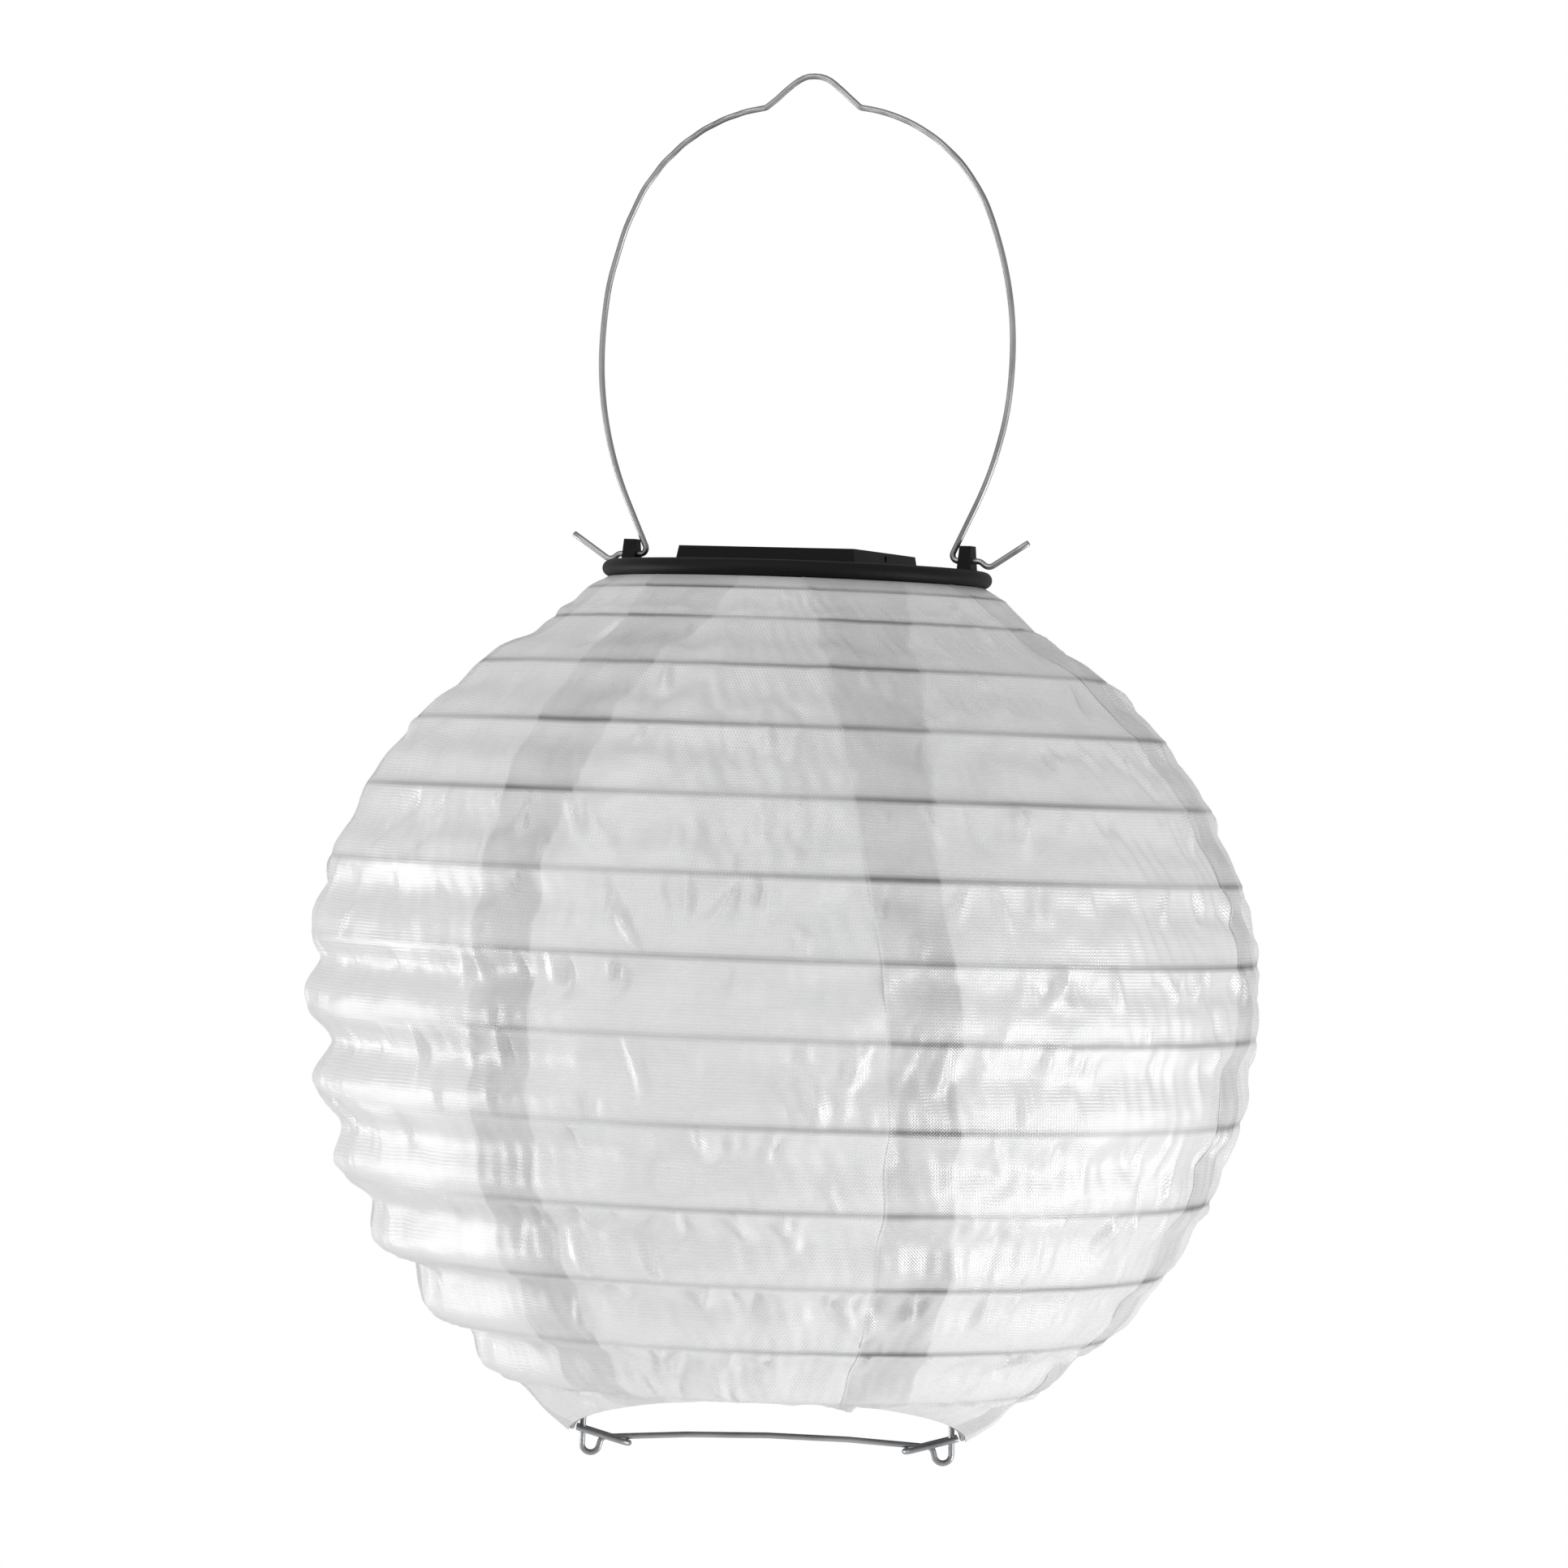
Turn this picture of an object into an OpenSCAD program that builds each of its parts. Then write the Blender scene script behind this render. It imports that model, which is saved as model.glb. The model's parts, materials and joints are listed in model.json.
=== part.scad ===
// Accordion solar lantern with a globe shade of seven fabric gores on wire hoops.
// Units are millimetres. The origin is the hang point, on the inner side of the wire at the
// bail's crown. Z is up, and X runs through the two lugs that carry the bail.

/* [Shade] */
// Diameter of the shade at its widest
shade_d = 256.8; // [180:0.2:400]
// Height of the upper half of the globe, from its centre to the pole of the curve
upper_h = 115; // [80:1:180]
// Angle of the first hoop above the centre
upper_first = 5.8; // [2:0.1:10]
// Angle between hoops in the upper half
upper_step = 10.75; // [8:0.05:14]
// Angle of the first hoop below the centre
lower_first = 3.8; // [2:0.1:10]
// Angle between hoops in the lower half
lower_step = 10.2; // [8:0.05:14]
// Radius of the top hoop, just under the cap
top_hoop_r = 56.8; // [54:0.1:62]
// Fabric thickness
fabric_t = 0.4; // [0.2:0.05:0.8]
// Gap between the two layers of a glued seam
seam_gap = 0.08; // [0.02:0.01:0.2]
// Direction of the first seam, from the lug axis
seam_start = -60; // [-90:1:90]
// Wire diameter of a hoop
hoop_d = 1.0; // [0.8:0.1:1.6]
// Distance from the fabric's inner face to the hoop's centre line
hoop_inset = 1.5; // [1.3:0.05:3]

/* [Hem] */
// Radius of the hem wire where the clips pull it down
hem_r = 52.6; // [45:0.1:60]
// Depth of the hem's two low corners below the shade's centre
hem_drop = 119; // [110:0.5:130]
// Rise angle of the hem from its corners to the front and back
hem_rise = 16; // [0:0.5:25]
// Wire diameter of the hem, the bail and the expander
wire_d = 1.6; // [1.2:0.1:2.4]

/* [Cap] */
// Diameter of the cap
cap_d = 105; // [90:0.5:130]
// Height of the cap's rolled rim
rim_h = 4.4; // [3:0.1:8]
// Side of the raised panel frame at its foot
box_foot = 51.2; // [44:0.1:60]
// Side of the raised panel frame at its top
box_top = 49.6; // [42:0.1:60]
// Height of the panel frame's top above the rim
box_h = 4.1; // [3:0.1:8]
// Distance from the axis to the middle of a lug
lug_r = 48.1; // [44:0.1:50]
// Height of a lug's top above the rim
lug_h = 6.4; // [5:0.1:10]
// Height of the lug holes above the rim
pivot_h = 2.4; // [2:0.1:4]
// Radial clearance of a wire in its hole
wire_fit = 0.08; // [0.02:0.01:0.1]

/* [Bail] */
// Half width of the bail at its widest
bail_half = 59; // [54:0.5:70]
// Height of the bail's widest point above the lug holes
bail_wide_h = 55; // [40:1:80]
// Bend radius of the bail's sides
bail_side_r = 95; // [80:1:160]
// Bend radius of the bail's shoulders
bail_shoulder_r = 47; // [30:1:60]
// Slope of the raised crown
crown_slope = 40; // [25:1:55]

/* [Expander] */
// Direction of the expander's plane, from the lug axis
frame_turn = 22; // [0:1:45]
// Distance from the axis to a socket in the base plate
socket_r = 45.4; // [40:0.1:47]
// Outward lean of the uprights
upright_lean = 1.16; // [0:0.02:3]
// Depth of the lowest bend below the shade's centre
loop_depth = 126.6; // [120:0.2:135]
// Slope of the bowed crossbar at its ends
bow_slope = 4.5; // [0:0.1:10]

/* [Electronics] */
// Diameter of the battery cell
cell_d = 14.2; // [10:0.1:15]
// Length of the battery cell
cell_l = 50; // [44:0.5:52]
// Diameter of the lamp's reflector tube
lamp_d = 18; // [14:0.5:24]

/* [Hidden] */
$fn = 48;
gores = 7;
gore_turn = 360 / gores;
columns = 12;
rings = 14;
wire_r = wire_d / 2;
wire_sides = 12;
hem_chords = 48;

// bail geometry, all measured from the lug hole's axis
elbow_r = 1.6;
elbow_x = 45.6;
side_cx = bail_half - bail_side_r;
gap_x = elbow_x - side_cx;
gap_z = bail_wide_h - elbow_r;
gap_len = sqrt(gap_x * gap_x + gap_z * gap_z);
foot_lean = atan2(gap_z, gap_x) - acos((bail_side_r + elbow_r) / gap_len);
foot_len = sqrt(gap_len * gap_len - pow(bail_side_r + elbow_r, 2));
side_top = 24;
shoulder_top = 82.5;
crown_bend = 9;
bail_lower = [
    [0, -(90 + foot_lean), elbow_r],
    [foot_len, foot_lean + side_top, bail_side_r],
    [0, shoulder_top - side_top, bail_shoulder_r],
    [0, crown_slope * -1 + (90 - shoulder_top), 2]
];
crown_head = 180 - crown_slope;
crown_left = elbow_x + path_dx(bail_lower, 180) + crown_bend * (0 - sin(crown_head));
crown_run = crown_left / cos(crown_slope);
bail_steps = concat(bail_lower, [[crown_run, crown_slope, crown_bend]]);
bail_height = path_dy(bail_steps, 180);
pin_l = 5.5;
lap = 0.2;
arch_steps = concat([[lap, 0, 1]], bail_steps);
tail_steps = [[lap, -37, 2], [0.9, 70, 2.2], [11.5, 0, 0]];

// heights: p_z is the bail's axis, rim_z the top of the rim, c_z the shade's centre
p_z = wire_r - bail_height;
rim_z = p_z - pivot_h;
c_z = rim_z - 114.3;
plate_top = rim_z - 6.1;
plate_t = 2;
plate_bottom = plate_top - plate_t;
ceiling = rim_z - 2.9;

// expander geometry in its own plane, from the socket down and back to the middle
upright_head = -90 + upright_lean;
loop_r = 2.3;
loop_turn = -166;
bar_turn = 180 - bow_slope - (upright_head + loop_turn + 360);
frame_top = plate_bottom - 1.6;
frame_low = c_z - loop_depth + wire_r;
straight_top = 12;
loop_fall = loop_r * (1 - sin(upright_lean));
lean_len = (frame_top - straight_top - frame_low - loop_fall) / cos(upright_lean);
frame_half = [
    [straight_top, upright_lean, 30],
    [lean_len - 0.6, loop_turn, loop_r],
    [1.5, bar_turn, 1.6]
];
bow_x = socket_r + path_dx(frame_half, -90);
bow_r = bow_x / sin(bow_slope);
frame_steps = concat(frame_half, [[0, bow_slope, bow_r]]);
socket_pin = straight_top;
frame_sweep = concat([[lap, upright_lean, 30]], [for (k = [1 : 3]) frame_steps[k]]);
bar_z = frame_top + path_dy(frame_steps, -90);

// clip geometry
clip_in = 37.2;
clip_half = 2.4;
clip_bar_z = bar_z - bow_r * (1 - cos(asin(clip_in / bow_r)));
clip_z = clip_bar_z - wire_d - 0.3;
clip_out = hem_r - wire_r - 0.4;
clip_out_z = c_z - hem_drop;

// battery tub and lamp positions
tub_y = -16;
tub_low = plate_bottom - 18.2;
tub_x0 = -31;
tub_x1 = 39;
tub_w = 22;
cell_z = plate_bottom - 9.2;
lamp_y = 10;
lamp_low = plate_bottom - 13;
board_z = plate_top + 1.3;
switch_x = 27;
switch_y = 12;
screw_r = 43;

// ---- bent wire: steps are [straight, turn, bend radius], left turns positive ----

function path_dx(steps, head, i = 0) = i >= len(steps) ? 0 :
    steps[i][0] * cos(head)
    + sign(steps[i][1]) * steps[i][2] * (sin(head + steps[i][1]) - sin(head))
    + path_dx(steps, head + steps[i][1], i + 1);

function path_dy(steps, head, i = 0) = i >= len(steps) ? 0 :
    steps[i][0] * sin(head)
    + sign(steps[i][1]) * steps[i][2] * (cos(head) - cos(head + steps[i][1]))
    + path_dy(steps, head + steps[i][1], i + 1);

// corner radius of a wire's many-sided section, so that its flats lie just outside the round wire
function sweep_r(w) = 1.012 * w / cos(180 / wire_sides);

function side_angle(j) = 360 * (j + 0.5) / wire_sides;

// points along the path: wide bends are cut into chords of at most 6.5 degrees, tight ones of 24
function walk(steps, x, y, head, i = 0) = i >= len(steps) ? [[x, y]] :
    let (
        run = steps[i][0],
        turn = steps[i][1],
        side = sign(turn) * steps[i][2],
        x1 = x + run * cos(head),
        y1 = y + run * sin(head),
        n = max(1, ceil(abs(turn) / (steps[i][2] > 20 ? 6.5 : 24))),
        ahead = head + turn,
        x2 = x1 + side * (sin(ahead) - sin(head)),
        y2 = y1 + side * (cos(head) - cos(ahead)),
        inner = [for (k = [1 : 1 : n - 1])
            let (a = head + turn * k / n)
            [x1 + side * (sin(a) - sin(head)), y1 + side * (cos(head) - cos(a))]]
    )
    concat(
        [[x, y]],
        run > 0 && turn != 0 ? [[x1, y1]] : [],
        inner,
        walk(steps, x2, y2, ahead, i + 1)
    );

function unit(v) = v / norm(v);

function ahead_of(p, k) = unit(p[min(k + 1, len(p) - 1)] - p[min(k, len(p) - 2)]);

function behind_of(p, k) = unit(p[max(k, 1)] - p[max(k - 1, 0)]);

// sideways direction at point k of a path, stretched so that the corner is mitred
function mitre(p, k) =
    let (u = unit(ahead_of(p, k) + behind_of(p, k)))
    [-u[1], u[0]] / (u * ahead_of(p, k));

// the path and its mirror image across X = 0, joined where it ends
function both_sides(p) = concat(p, [for (k = [len(p) - 2 : -1 : 0]) [-p[k][0], p[k][1]]]);

// one flat side of the swept wire between section k and the next
function wall(k, next) = [for (j = [0 : wire_sides - 1])
    let (a = k * wire_sides, b = next * wire_sides, c = (j + 1) % wire_sides)
    [a + j, b + j, b + c, a + c]];

// round wire swept through points in the XY plane; its flats lie just outside radius w
module wire(points, w) {
    last = len(points) - 1;
    r = sweep_r(w);
    polyhedron(
        points = [for (k = [0 : last]) for (j = [0 : wire_sides - 1])
            let (m = mitre(points, k) * r * cos(side_angle(j)))
            [points[k][0] + m[0], points[k][1] + m[1], r * sin(side_angle(j))]],
        faces = concat(
            [[for (j = [0 : wire_sides - 1]) j]],
            [[for (j = [wire_sides - 1 : -1 : 0]) last * wire_sides + j]],
            [for (k = [0 : last - 1]) each wall(k, k + 1)]
        )
    );
}

// stands a path drawn in X and Y up into X and Z, at height z
module upright_wire(z, points, w) {
    translate([0, 0, z])
        rotate([90, 0, 0])
            wire(points, w);
}

// straight round pin along X from x0 to x1
module pin_x(x0, x1, z, w) {
    translate([x0, 0, z])
        rotate([0, 90, 0])
            cylinder(r = w, h = x1 - x0, $fn = 32);
}

// block with a foot of a x b and a top of c x d
module taper(a, b, c, d, h) {
    polyhedron(
        points = [
            [-a / 2, -b / 2, 0], [a / 2, -b / 2, 0], [a / 2, b / 2, 0], [-a / 2, b / 2, 0],
            [-c / 2, -d / 2, h], [c / 2, -d / 2, h], [c / 2, d / 2, h], [-c / 2, d / 2, h]
        ],
        faces = [[0, 1, 2, 3], [4, 7, 6, 5], [0, 4, 5, 1], [1, 5, 6, 2], [2, 6, 7, 3], [3, 7, 4, 0]]
    );
}

module slab(x0, x1, y0, y1, z0, z1) {
    translate([x0, y0, z0])
        cube([x1 - x0, y1 - y0, z1 - z0]);
}

// ---- shade curve: ring 0 is the clamped edge, 1 the top hoop, 14 the hem ----

function ring_r(i) =
    i == 0 ? 50.3 :
    i == 1 ? top_hoop_r :
    i <= 7 ? shade_d / 2 * cos(upper_first + upper_step * (7 - i)) :
    i <= 13 ? shade_d / 2 * cos(lower_first + lower_step * (i - 8)) :
    hem_r;

function ring_z(i) =
    i == 0 ? 109.2 :
    i == 1 ? 107.1 :
    i <= 7 ? upper_h * sin(upper_first + upper_step * (7 - i)) :
    i <= 13 ? -shade_d / 2 * sin(lower_first + lower_step * (i - 8)) :
    -hem_drop;

// the hem is two half circles that rise from a shared fold line at the corners
function hem_at(a) = atan2(sin(a) / cos(hem_rise), cos(a));
function hem_rad(a) = hem_r * sqrt(pow(cos(hem_at(a)), 2) + pow(sin(hem_at(a)) * cos(hem_rise), 2));
function hem_up(a) = hem_r * abs(sin(hem_at(a))) * sin(hem_rise);

function spot(i, a) = i < rings ? [ring_r(i), ring_z(i)] :
    [hem_rad(a) + wire_r + 0.4, -hem_drop + hem_up(a) - wire_r - 0.7];

function along(i, a) = spot(min(i + 1, rings), a) - spot(max(i - 1, 0), a);
function outward(i, a) = [-along(i, a)[1], along(i, a)[0]] / norm(along(i, a));

function skin_point(i, turn, out) =
    let (a = turn - frame_turn, p = spot(i, a) + outward(i, a) * out)
    [p[0] * cos(turn), p[0] * sin(turn), p[1] + c_z];

// columns run over the gore's own face, then step inward for the strip under its neighbour
function column_turn(j) = j < columns ? j * gore_turn / columns :
    j == columns ? gore_turn - 0.4 :
    gore_turn + (j - columns - 1) * gore_turn / columns;
function column_in(j) = j <= columns ? 0 : -fabric_t - seam_gap;

module gore(k) {
    turn0 = seam_start + gore_turn * (k - 1);
    last = columns + 3;
    n = last + 1;
    m = n * (rings + 1);
    outer = [for (i = [0 : rings]) for (j = [0 : last])
        skin_point(i, turn0 + column_turn(j), column_in(j) + fabric_t)];
    inner = [for (i = [0 : rings]) for (j = [0 : last])
        skin_point(i, turn0 + column_turn(j), column_in(j))];
    out_a = [for (i = [0 : rings - 1]) for (j = [0 : last - 1])
        [i * n + j, i * n + j + 1, (i + 1) * n + j]];
    out_b = [for (i = [0 : rings - 1]) for (j = [0 : last - 1])
        [i * n + j + 1, (i + 1) * n + j + 1, (i + 1) * n + j]];
    in_a = [for (f = out_a) [f[0] + m, f[2] + m, f[1] + m]];
    in_b = [for (f = out_b) [f[0] + m, f[2] + m, f[1] + m]];
    top = [for (j = [0 : last - 1]) [j, j + m, j + 1 + m]];
    top_b = [for (j = [0 : last - 1]) [j, j + 1 + m, j + 1]];
    e = rings * n;
    low = [for (j = [0 : last - 1]) [e + j, e + j + 1, e + j + 1 + m]];
    low_b = [for (j = [0 : last - 1]) [e + j, e + j + 1 + m, e + j + m]];
    left = [for (i = [0 : rings - 1]) [i * n, (i + 1) * n, (i + 1) * n + m]];
    left_b = [for (i = [0 : rings - 1]) [i * n, (i + 1) * n + m, i * n + m]];
    right = [for (i = [0 : rings - 1]) [i * n + last, i * n + last + m, (i + 1) * n + last + m]];
    right_b = [for (i = [0 : rings - 1]) [i * n + last, (i + 1) * n + last + m, (i + 1) * n + last]];
    polyhedron(
        points = concat(outer, inner),
        faces = concat(out_a, out_b, in_a, in_b, top, top_b, low, low_b, left, left_b, right, right_b)
    );
}

module shade_gore(k) {
    color([0.93, 0.93, 0.94])
        gore(k);
}

module gore_1() {
    shade_gore(1);
}

module gore_2() {
    shade_gore(2);
}

module gore_3() {
    shade_gore(3);
}

module gore_4() {
    shade_gore(4);
}

module gore_5() {
    shade_gore(5);
}

module gore_6() {
    shade_gore(6);
}

module gore_7() {
    shade_gore(7);
}

// ---- hoops ----

module hoop(i) {
    centre = spot(i + 1, 0) - outward(i + 1, 0) * hoop_inset;
    color([0.78, 0.79, 0.8])
        translate([0, 0, c_z + centre[1]])
            rotate_extrude($fn = 96)
                translate([centre[0], 0])
                    circle(d = hoop_d, $fn = 16);
}

module hoop_0() {
    hoop(0);
}

module hoop_1() {
    hoop(1);
}

module hoop_2() {
    hoop(2);
}

module hoop_3() {
    hoop(3);
}

module hoop_4() {
    hoop(4);
}

module hoop_5() {
    hoop(5);
}

module hoop_6() {
    hoop(6);
}

module hoop_7() {
    hoop(7);
}

module hoop_8() {
    hoop(8);
}

module hoop_9() {
    hoop(9);
}

module hoop_10() {
    hoop(10);
}

module hoop_11() {
    hoop(11);
}

module hoop_12() {
    hoop(12);
}

// section k of the hem ring: centre, outward and upward directions; corners are mitred
function hem_turn(k) = 360 * k / hem_chords;

function hem_rise_at(k) = hem_turn(k) % 180 == 0 ? 0 : sign(sin(hem_turn(k))) * hem_rise;

function hem_side(k) =
    let (a = hem_turn(k), t = sign(sin(a)) * hem_rise)
    [cos(a), sin(a) * cos(hem_rise), hem_turn(k) % 180 == 0 ? 0 : sin(a) * sin(t)];

function hem_top(k) =
    let (t = hem_rise_at(k))
    t == 0 ? [0, 0, 1 / cos(hem_rise)] : [0, -sin(t), cos(t)];

module hem_wire() {
    r = sweep_r(wire_r);
    color([0.75, 0.76, 0.78])
        translate([0, 0, c_z - hem_drop])
            rotate([0, 0, frame_turn])
                polyhedron(
                    points = [for (k = [0 : hem_chords - 1]) for (j = [0 : wire_sides - 1])
                        hem_side(k) * (hem_r + r * cos(side_angle(j))) + hem_top(k) * r * sin(side_angle(j))],
                    faces = [for (k = [0 : hem_chords - 1]) each wall((k + 1) % hem_chords, k)]
                );
}

// ---- expander ----

module frame_pin(side) {
    translate([side * socket_r, 0, frame_top - socket_pin])
        cylinder(r = wire_r, h = socket_pin, $fn = 32);
}

module expander_wire() {
    color([0.72, 0.73, 0.75])
        rotate([0, 0, frame_turn]) {
            upright_wire(frame_top - socket_pin + lap,
                both_sides(walk(frame_sweep, socket_r, 0, -90)), wire_r);
            frame_pin(1);
            frame_pin(-1);
        }
}

// one hairpin: its closed end passes under the crossbar, its legs run out to the hem corner
module hairpin() {
    run = clip_out - clip_in - clip_half;
    lift = clip_out_z - clip_z;
    slope = atan2(lift, run);
    leg = sqrt(run * run + lift * lift);
    translate([clip_in, 0, clip_z])
        rotate([0, -slope, 0])
            translate([clip_half, 0, 0]) {
                rotate([0, 0, 90])
                    rotate_extrude(angle = 180, $fn = 64)
                        translate([clip_half, 0])
                            circle(r = wire_r, $fn = 20);
                for (s = [-1, 1])
                    translate([0, s * clip_half, 0])
                        rotate([0, 90, 0])
                            cylinder(r = wire_r, h = leg, $fn = 20);
            }
}

module hem_clip_right() {
    color([0.72, 0.73, 0.75])
        rotate([0, 0, frame_turn])
            hairpin();
}

module hem_clip_left() {
    color([0.72, 0.73, 0.75])
        rotate([0, 0, frame_turn + 180])
            hairpin();
}

// ---- bail ----

module bail_end() {
    pin_x(elbow_x, elbow_x + pin_l, p_z, wire_r);
    upright_wire(p_z, walk(tail_steps, elbow_x + pin_l - lap, 0, 0), wire_r);
}

module bail_handle() {
    color([0.72, 0.73, 0.75]) {
        upright_wire(p_z, both_sides(walk(arch_steps, elbow_x + lap, 0, 180)), wire_r);
        bail_end();
        mirror([1, 0, 0])
            bail_end();
    }
}

// ---- cap ----

module lug() {
    translate([lug_r, 0, rim_z - 1])
        taper(4, 6, 3.2, 4.2, lug_h + 1);
}

module cap_shell() {
    color([0.13, 0.13, 0.14])
        difference() {
            union() {
                translate([0, 0, rim_z - rim_h / 2])
                    rotate_extrude($fn = 96)
                        translate([cap_d / 2 - rim_h / 2, 0])
                            circle(d = rim_h, $fn = 32);
                translate([0, 0, ceiling])
                    cylinder(r = cap_d / 2 - rim_h / 2, h = 2.2, $fn = 96);
                translate([0, 0, rim_z - 1])
                    taper(box_foot, box_foot, box_top, box_top, box_h + 1);
                lug();
                mirror([1, 0, 0])
                    lug();
                for (a = [45 : 90 : 315])
                    rotate([0, 0, a])
                        translate([screw_r, 0, plate_top])
                            cylinder(d = 6, h = ceiling - plate_top + 0.5, $fn = 32);
            }
            slab(-22.5, 22.5, -22.5, 22.5, rim_z + 1.9, rim_z + 10);
            slab(-20.5, 20.5, -20.5, 20.5, rim_z - 10, rim_z + 5);
            translate([0, 0, p_z])
                rotate([0, 90, 0])
                    cylinder(r = wire_r + wire_fit, h = cap_d, center = true, $fn = 32);
            for (a = [45 : 90 : 315])
                rotate([0, 0, a])
                    translate([screw_r, 0, plate_top - 1])
                        cylinder(d = 2.24, h = 4, $fn = 24);
        }
}

module solar_cell() {
    color([0.05, 0.06, 0.12])
        slab(-22.2, 22.2, -22.2, 22.2, rim_z + 1.95, rim_z + 3.3);
}

module panel_glaze() {
    color([0.2, 0.22, 0.28, 0.6])
        slab(-22.2, 22.2, -22.2, 22.2, rim_z + 3.32, rim_z + 4);
}

// ---- base plate with battery tub, lamp tube and expander sockets ----

module base_plate() {
    color([0.16, 0.16, 0.17])
        difference() {
            union() {
                translate([0, 0, plate_bottom])
                    cylinder(r = 50.6, h = plate_t, $fn = 96);
                slab(tub_x0, tub_x1, tub_y - tub_w / 2, tub_y + tub_w / 2, tub_low, plate_bottom + 1);
                translate([0, lamp_y, lamp_low])
                    cylinder(d = lamp_d + 3, h = plate_bottom - lamp_low + 1, $fn = 48);
                for (a = [0, 180])
                    rotate([0, 0, frame_turn + a])
                        translate([socket_r, 0, plate_bottom - 10])
                            cylinder(d = 6, h = 11, $fn = 32);
                for (x = [-14, 14])
                    translate([x, lamp_y - 7, plate_top - 1])
                        cylinder(d = 4, h = board_z - plate_top + 1, $fn = 24);
            }
            slab(tub_x0 + 1.6, tub_x1 - 11.2, tub_y - 9.2, tub_y + 9.2, tub_low - 1, plate_bottom - 1);
            translate([tub_x1 - 4.5, tub_y, tub_low - 1])
                cylinder(d = 2.24, h = 9, $fn = 24);
            translate([0, lamp_y, lamp_low - 1])
                cylinder(d = lamp_d, h = plate_bottom - lamp_low + 1, $fn = 48);
            translate([0, lamp_y, plate_bottom - 1])
                cylinder(d = 7, h = plate_t + 2, $fn = 32);
            translate([-15, tub_y + 7, plate_bottom - 2])
                cylinder(d = 3, h = plate_t + 3, $fn = 24);
            translate([switch_x, switch_y, plate_bottom - 1])
                cylinder(d = 3, h = plate_t + 2, $fn = 24);
            for (a = [0, 180])
                rotate([0, 0, frame_turn + a])
                    translate([socket_r, 0, plate_bottom - 11])
                        cylinder(r = wire_r + wire_fit, h = 10, $fn = 32);
            for (a = [45 : 90 : 315])
                rotate([0, 0, a])
                    translate([screw_r, 0, plate_bottom - 1])
                        cylinder(d = 2.6, h = plate_t + 2, $fn = 24);
        }
}

module screw(h, head) {
    color([0.6, 0.6, 0.62])
        difference() {
            union() {
                cylinder(d = 2.2, h = h, $fn = 24);
                translate([0, 0, -1.6])
                    cylinder(d = head, h = 1.6, $fn = 24);
            }
            slab(-0.4, 0.4, -1.5, 1.5, -2, -0.9);
            slab(-1.5, 1.5, -0.4, 0.4, -2, -0.9);
        }
}

module plate_screw(k) {
    rotate([0, 0, 90 * k - 45])
        translate([screw_r, 0, plate_bottom])
            screw(4.4, 4.6);
}

module base_screw_1() {
    plate_screw(1);
}

module base_screw_2() {
    plate_screw(2);
}

module base_screw_3() {
    plate_screw(3);
}

module base_screw_4() {
    plate_screw(4);
}

module circuit_board() {
    color([0.1, 0.35, 0.2])
        difference() {
            union() {
                slab(-17, 17, lamp_y - 11, lamp_y + 9, board_z, board_z + 1.2);
                slab(-13, -8, lamp_y - 5, lamp_y, board_z + 1, board_z + 2.6);
                slab(6, 10, lamp_y - 8, lamp_y - 4, board_z + 1, board_z + 2.2);
                translate([12, lamp_y + 4, board_z + 1])
                    cylinder(d = 4, h = 3.4, $fn = 24);
            }
            for (x = [-1.27, 1.27])
                translate([x, lamp_y, board_z - 1])
                    cylinder(d = 0.9, h = 4, $fn = 20);
        }
}

module led() {
    color([0.95, 0.93, 0.85]) {
        translate([0, lamp_y, plate_bottom - 5])
            cylinder(d = 5, h = 5, $fn = 32);
        translate([0, lamp_y, plate_bottom - 5])
            sphere(d = 5, $fn = 32);
        translate([0, lamp_y, plate_bottom - 0.5])
            cylinder(d = 5.8, h = 1, $fn = 32);
        for (x = [-1.27, 1.27])
            translate([x, lamp_y, plate_bottom])
                cylinder(d = 0.6, h = board_z + 1.8 - plate_bottom, $fn = 12);
    }
}

module led_reflector() {
    color([0.85, 0.86, 0.88])
        translate([0, lamp_y, 0])
            rotate_extrude($fn = 48)
                polygon([
                    [3.4, plate_bottom - 1.1],
                    [4.4, plate_bottom - 1.1],
                    [lamp_d / 2 - 0.2, lamp_low + 2.2],
                    [lamp_d / 2 - 0.2, lamp_low + 1.7],
                    [lamp_d / 2 - 1.2, lamp_low + 1.7]
                ]);
}

module led_lens() {
    color([0.95, 0.95, 0.96, 0.7])
        translate([0, lamp_y, lamp_low])
            cylinder(d = lamp_d - 0.3, h = 1.5, $fn = 48);
}

module battery() {
    color([0.2, 0.45, 0.3])
        translate([-22.9, tub_y, cell_z])
            rotate([0, 90, 0]) {
                cylinder(d = cell_d, h = cell_l - 1, $fn = 48);
                translate([0, 0, cell_l - 1.5])
                    cylinder(d = 5, h = 1.5, $fn = 24);
            }
}

module contact_spring() {
    color([0.8, 0.78, 0.7]) {
        slab(-29.2, -28.7, tub_y - 5, tub_y + 5, cell_z - 5, cell_z + 6);
        translate([-28.8, tub_y, cell_z])
            rotate([0, 90, 0])
                for (k = [0 : 3])
                    translate([0, 0, 0.3 + k * 1.7])
                        rotate_extrude($fn = 48)
                            translate([4.6 - k * 0.7, 0])
                                circle(d = 0.8, $fn = 20);
        for (k = [0 : 2])
            translate([-28.5 + k * 1.7, tub_y + 4.25 - k * 0.7, cell_z])
                rotate([0, 90, 0])
                    cylinder(d = 0.7, h = 1.7, $fn = 20);
    }
}

module contact_plate() {
    color([0.8, 0.78, 0.7])
        slab(27.15, 27.75, tub_y - 5, tub_y + 5, cell_z - 5, cell_z + 6);
}

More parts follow.
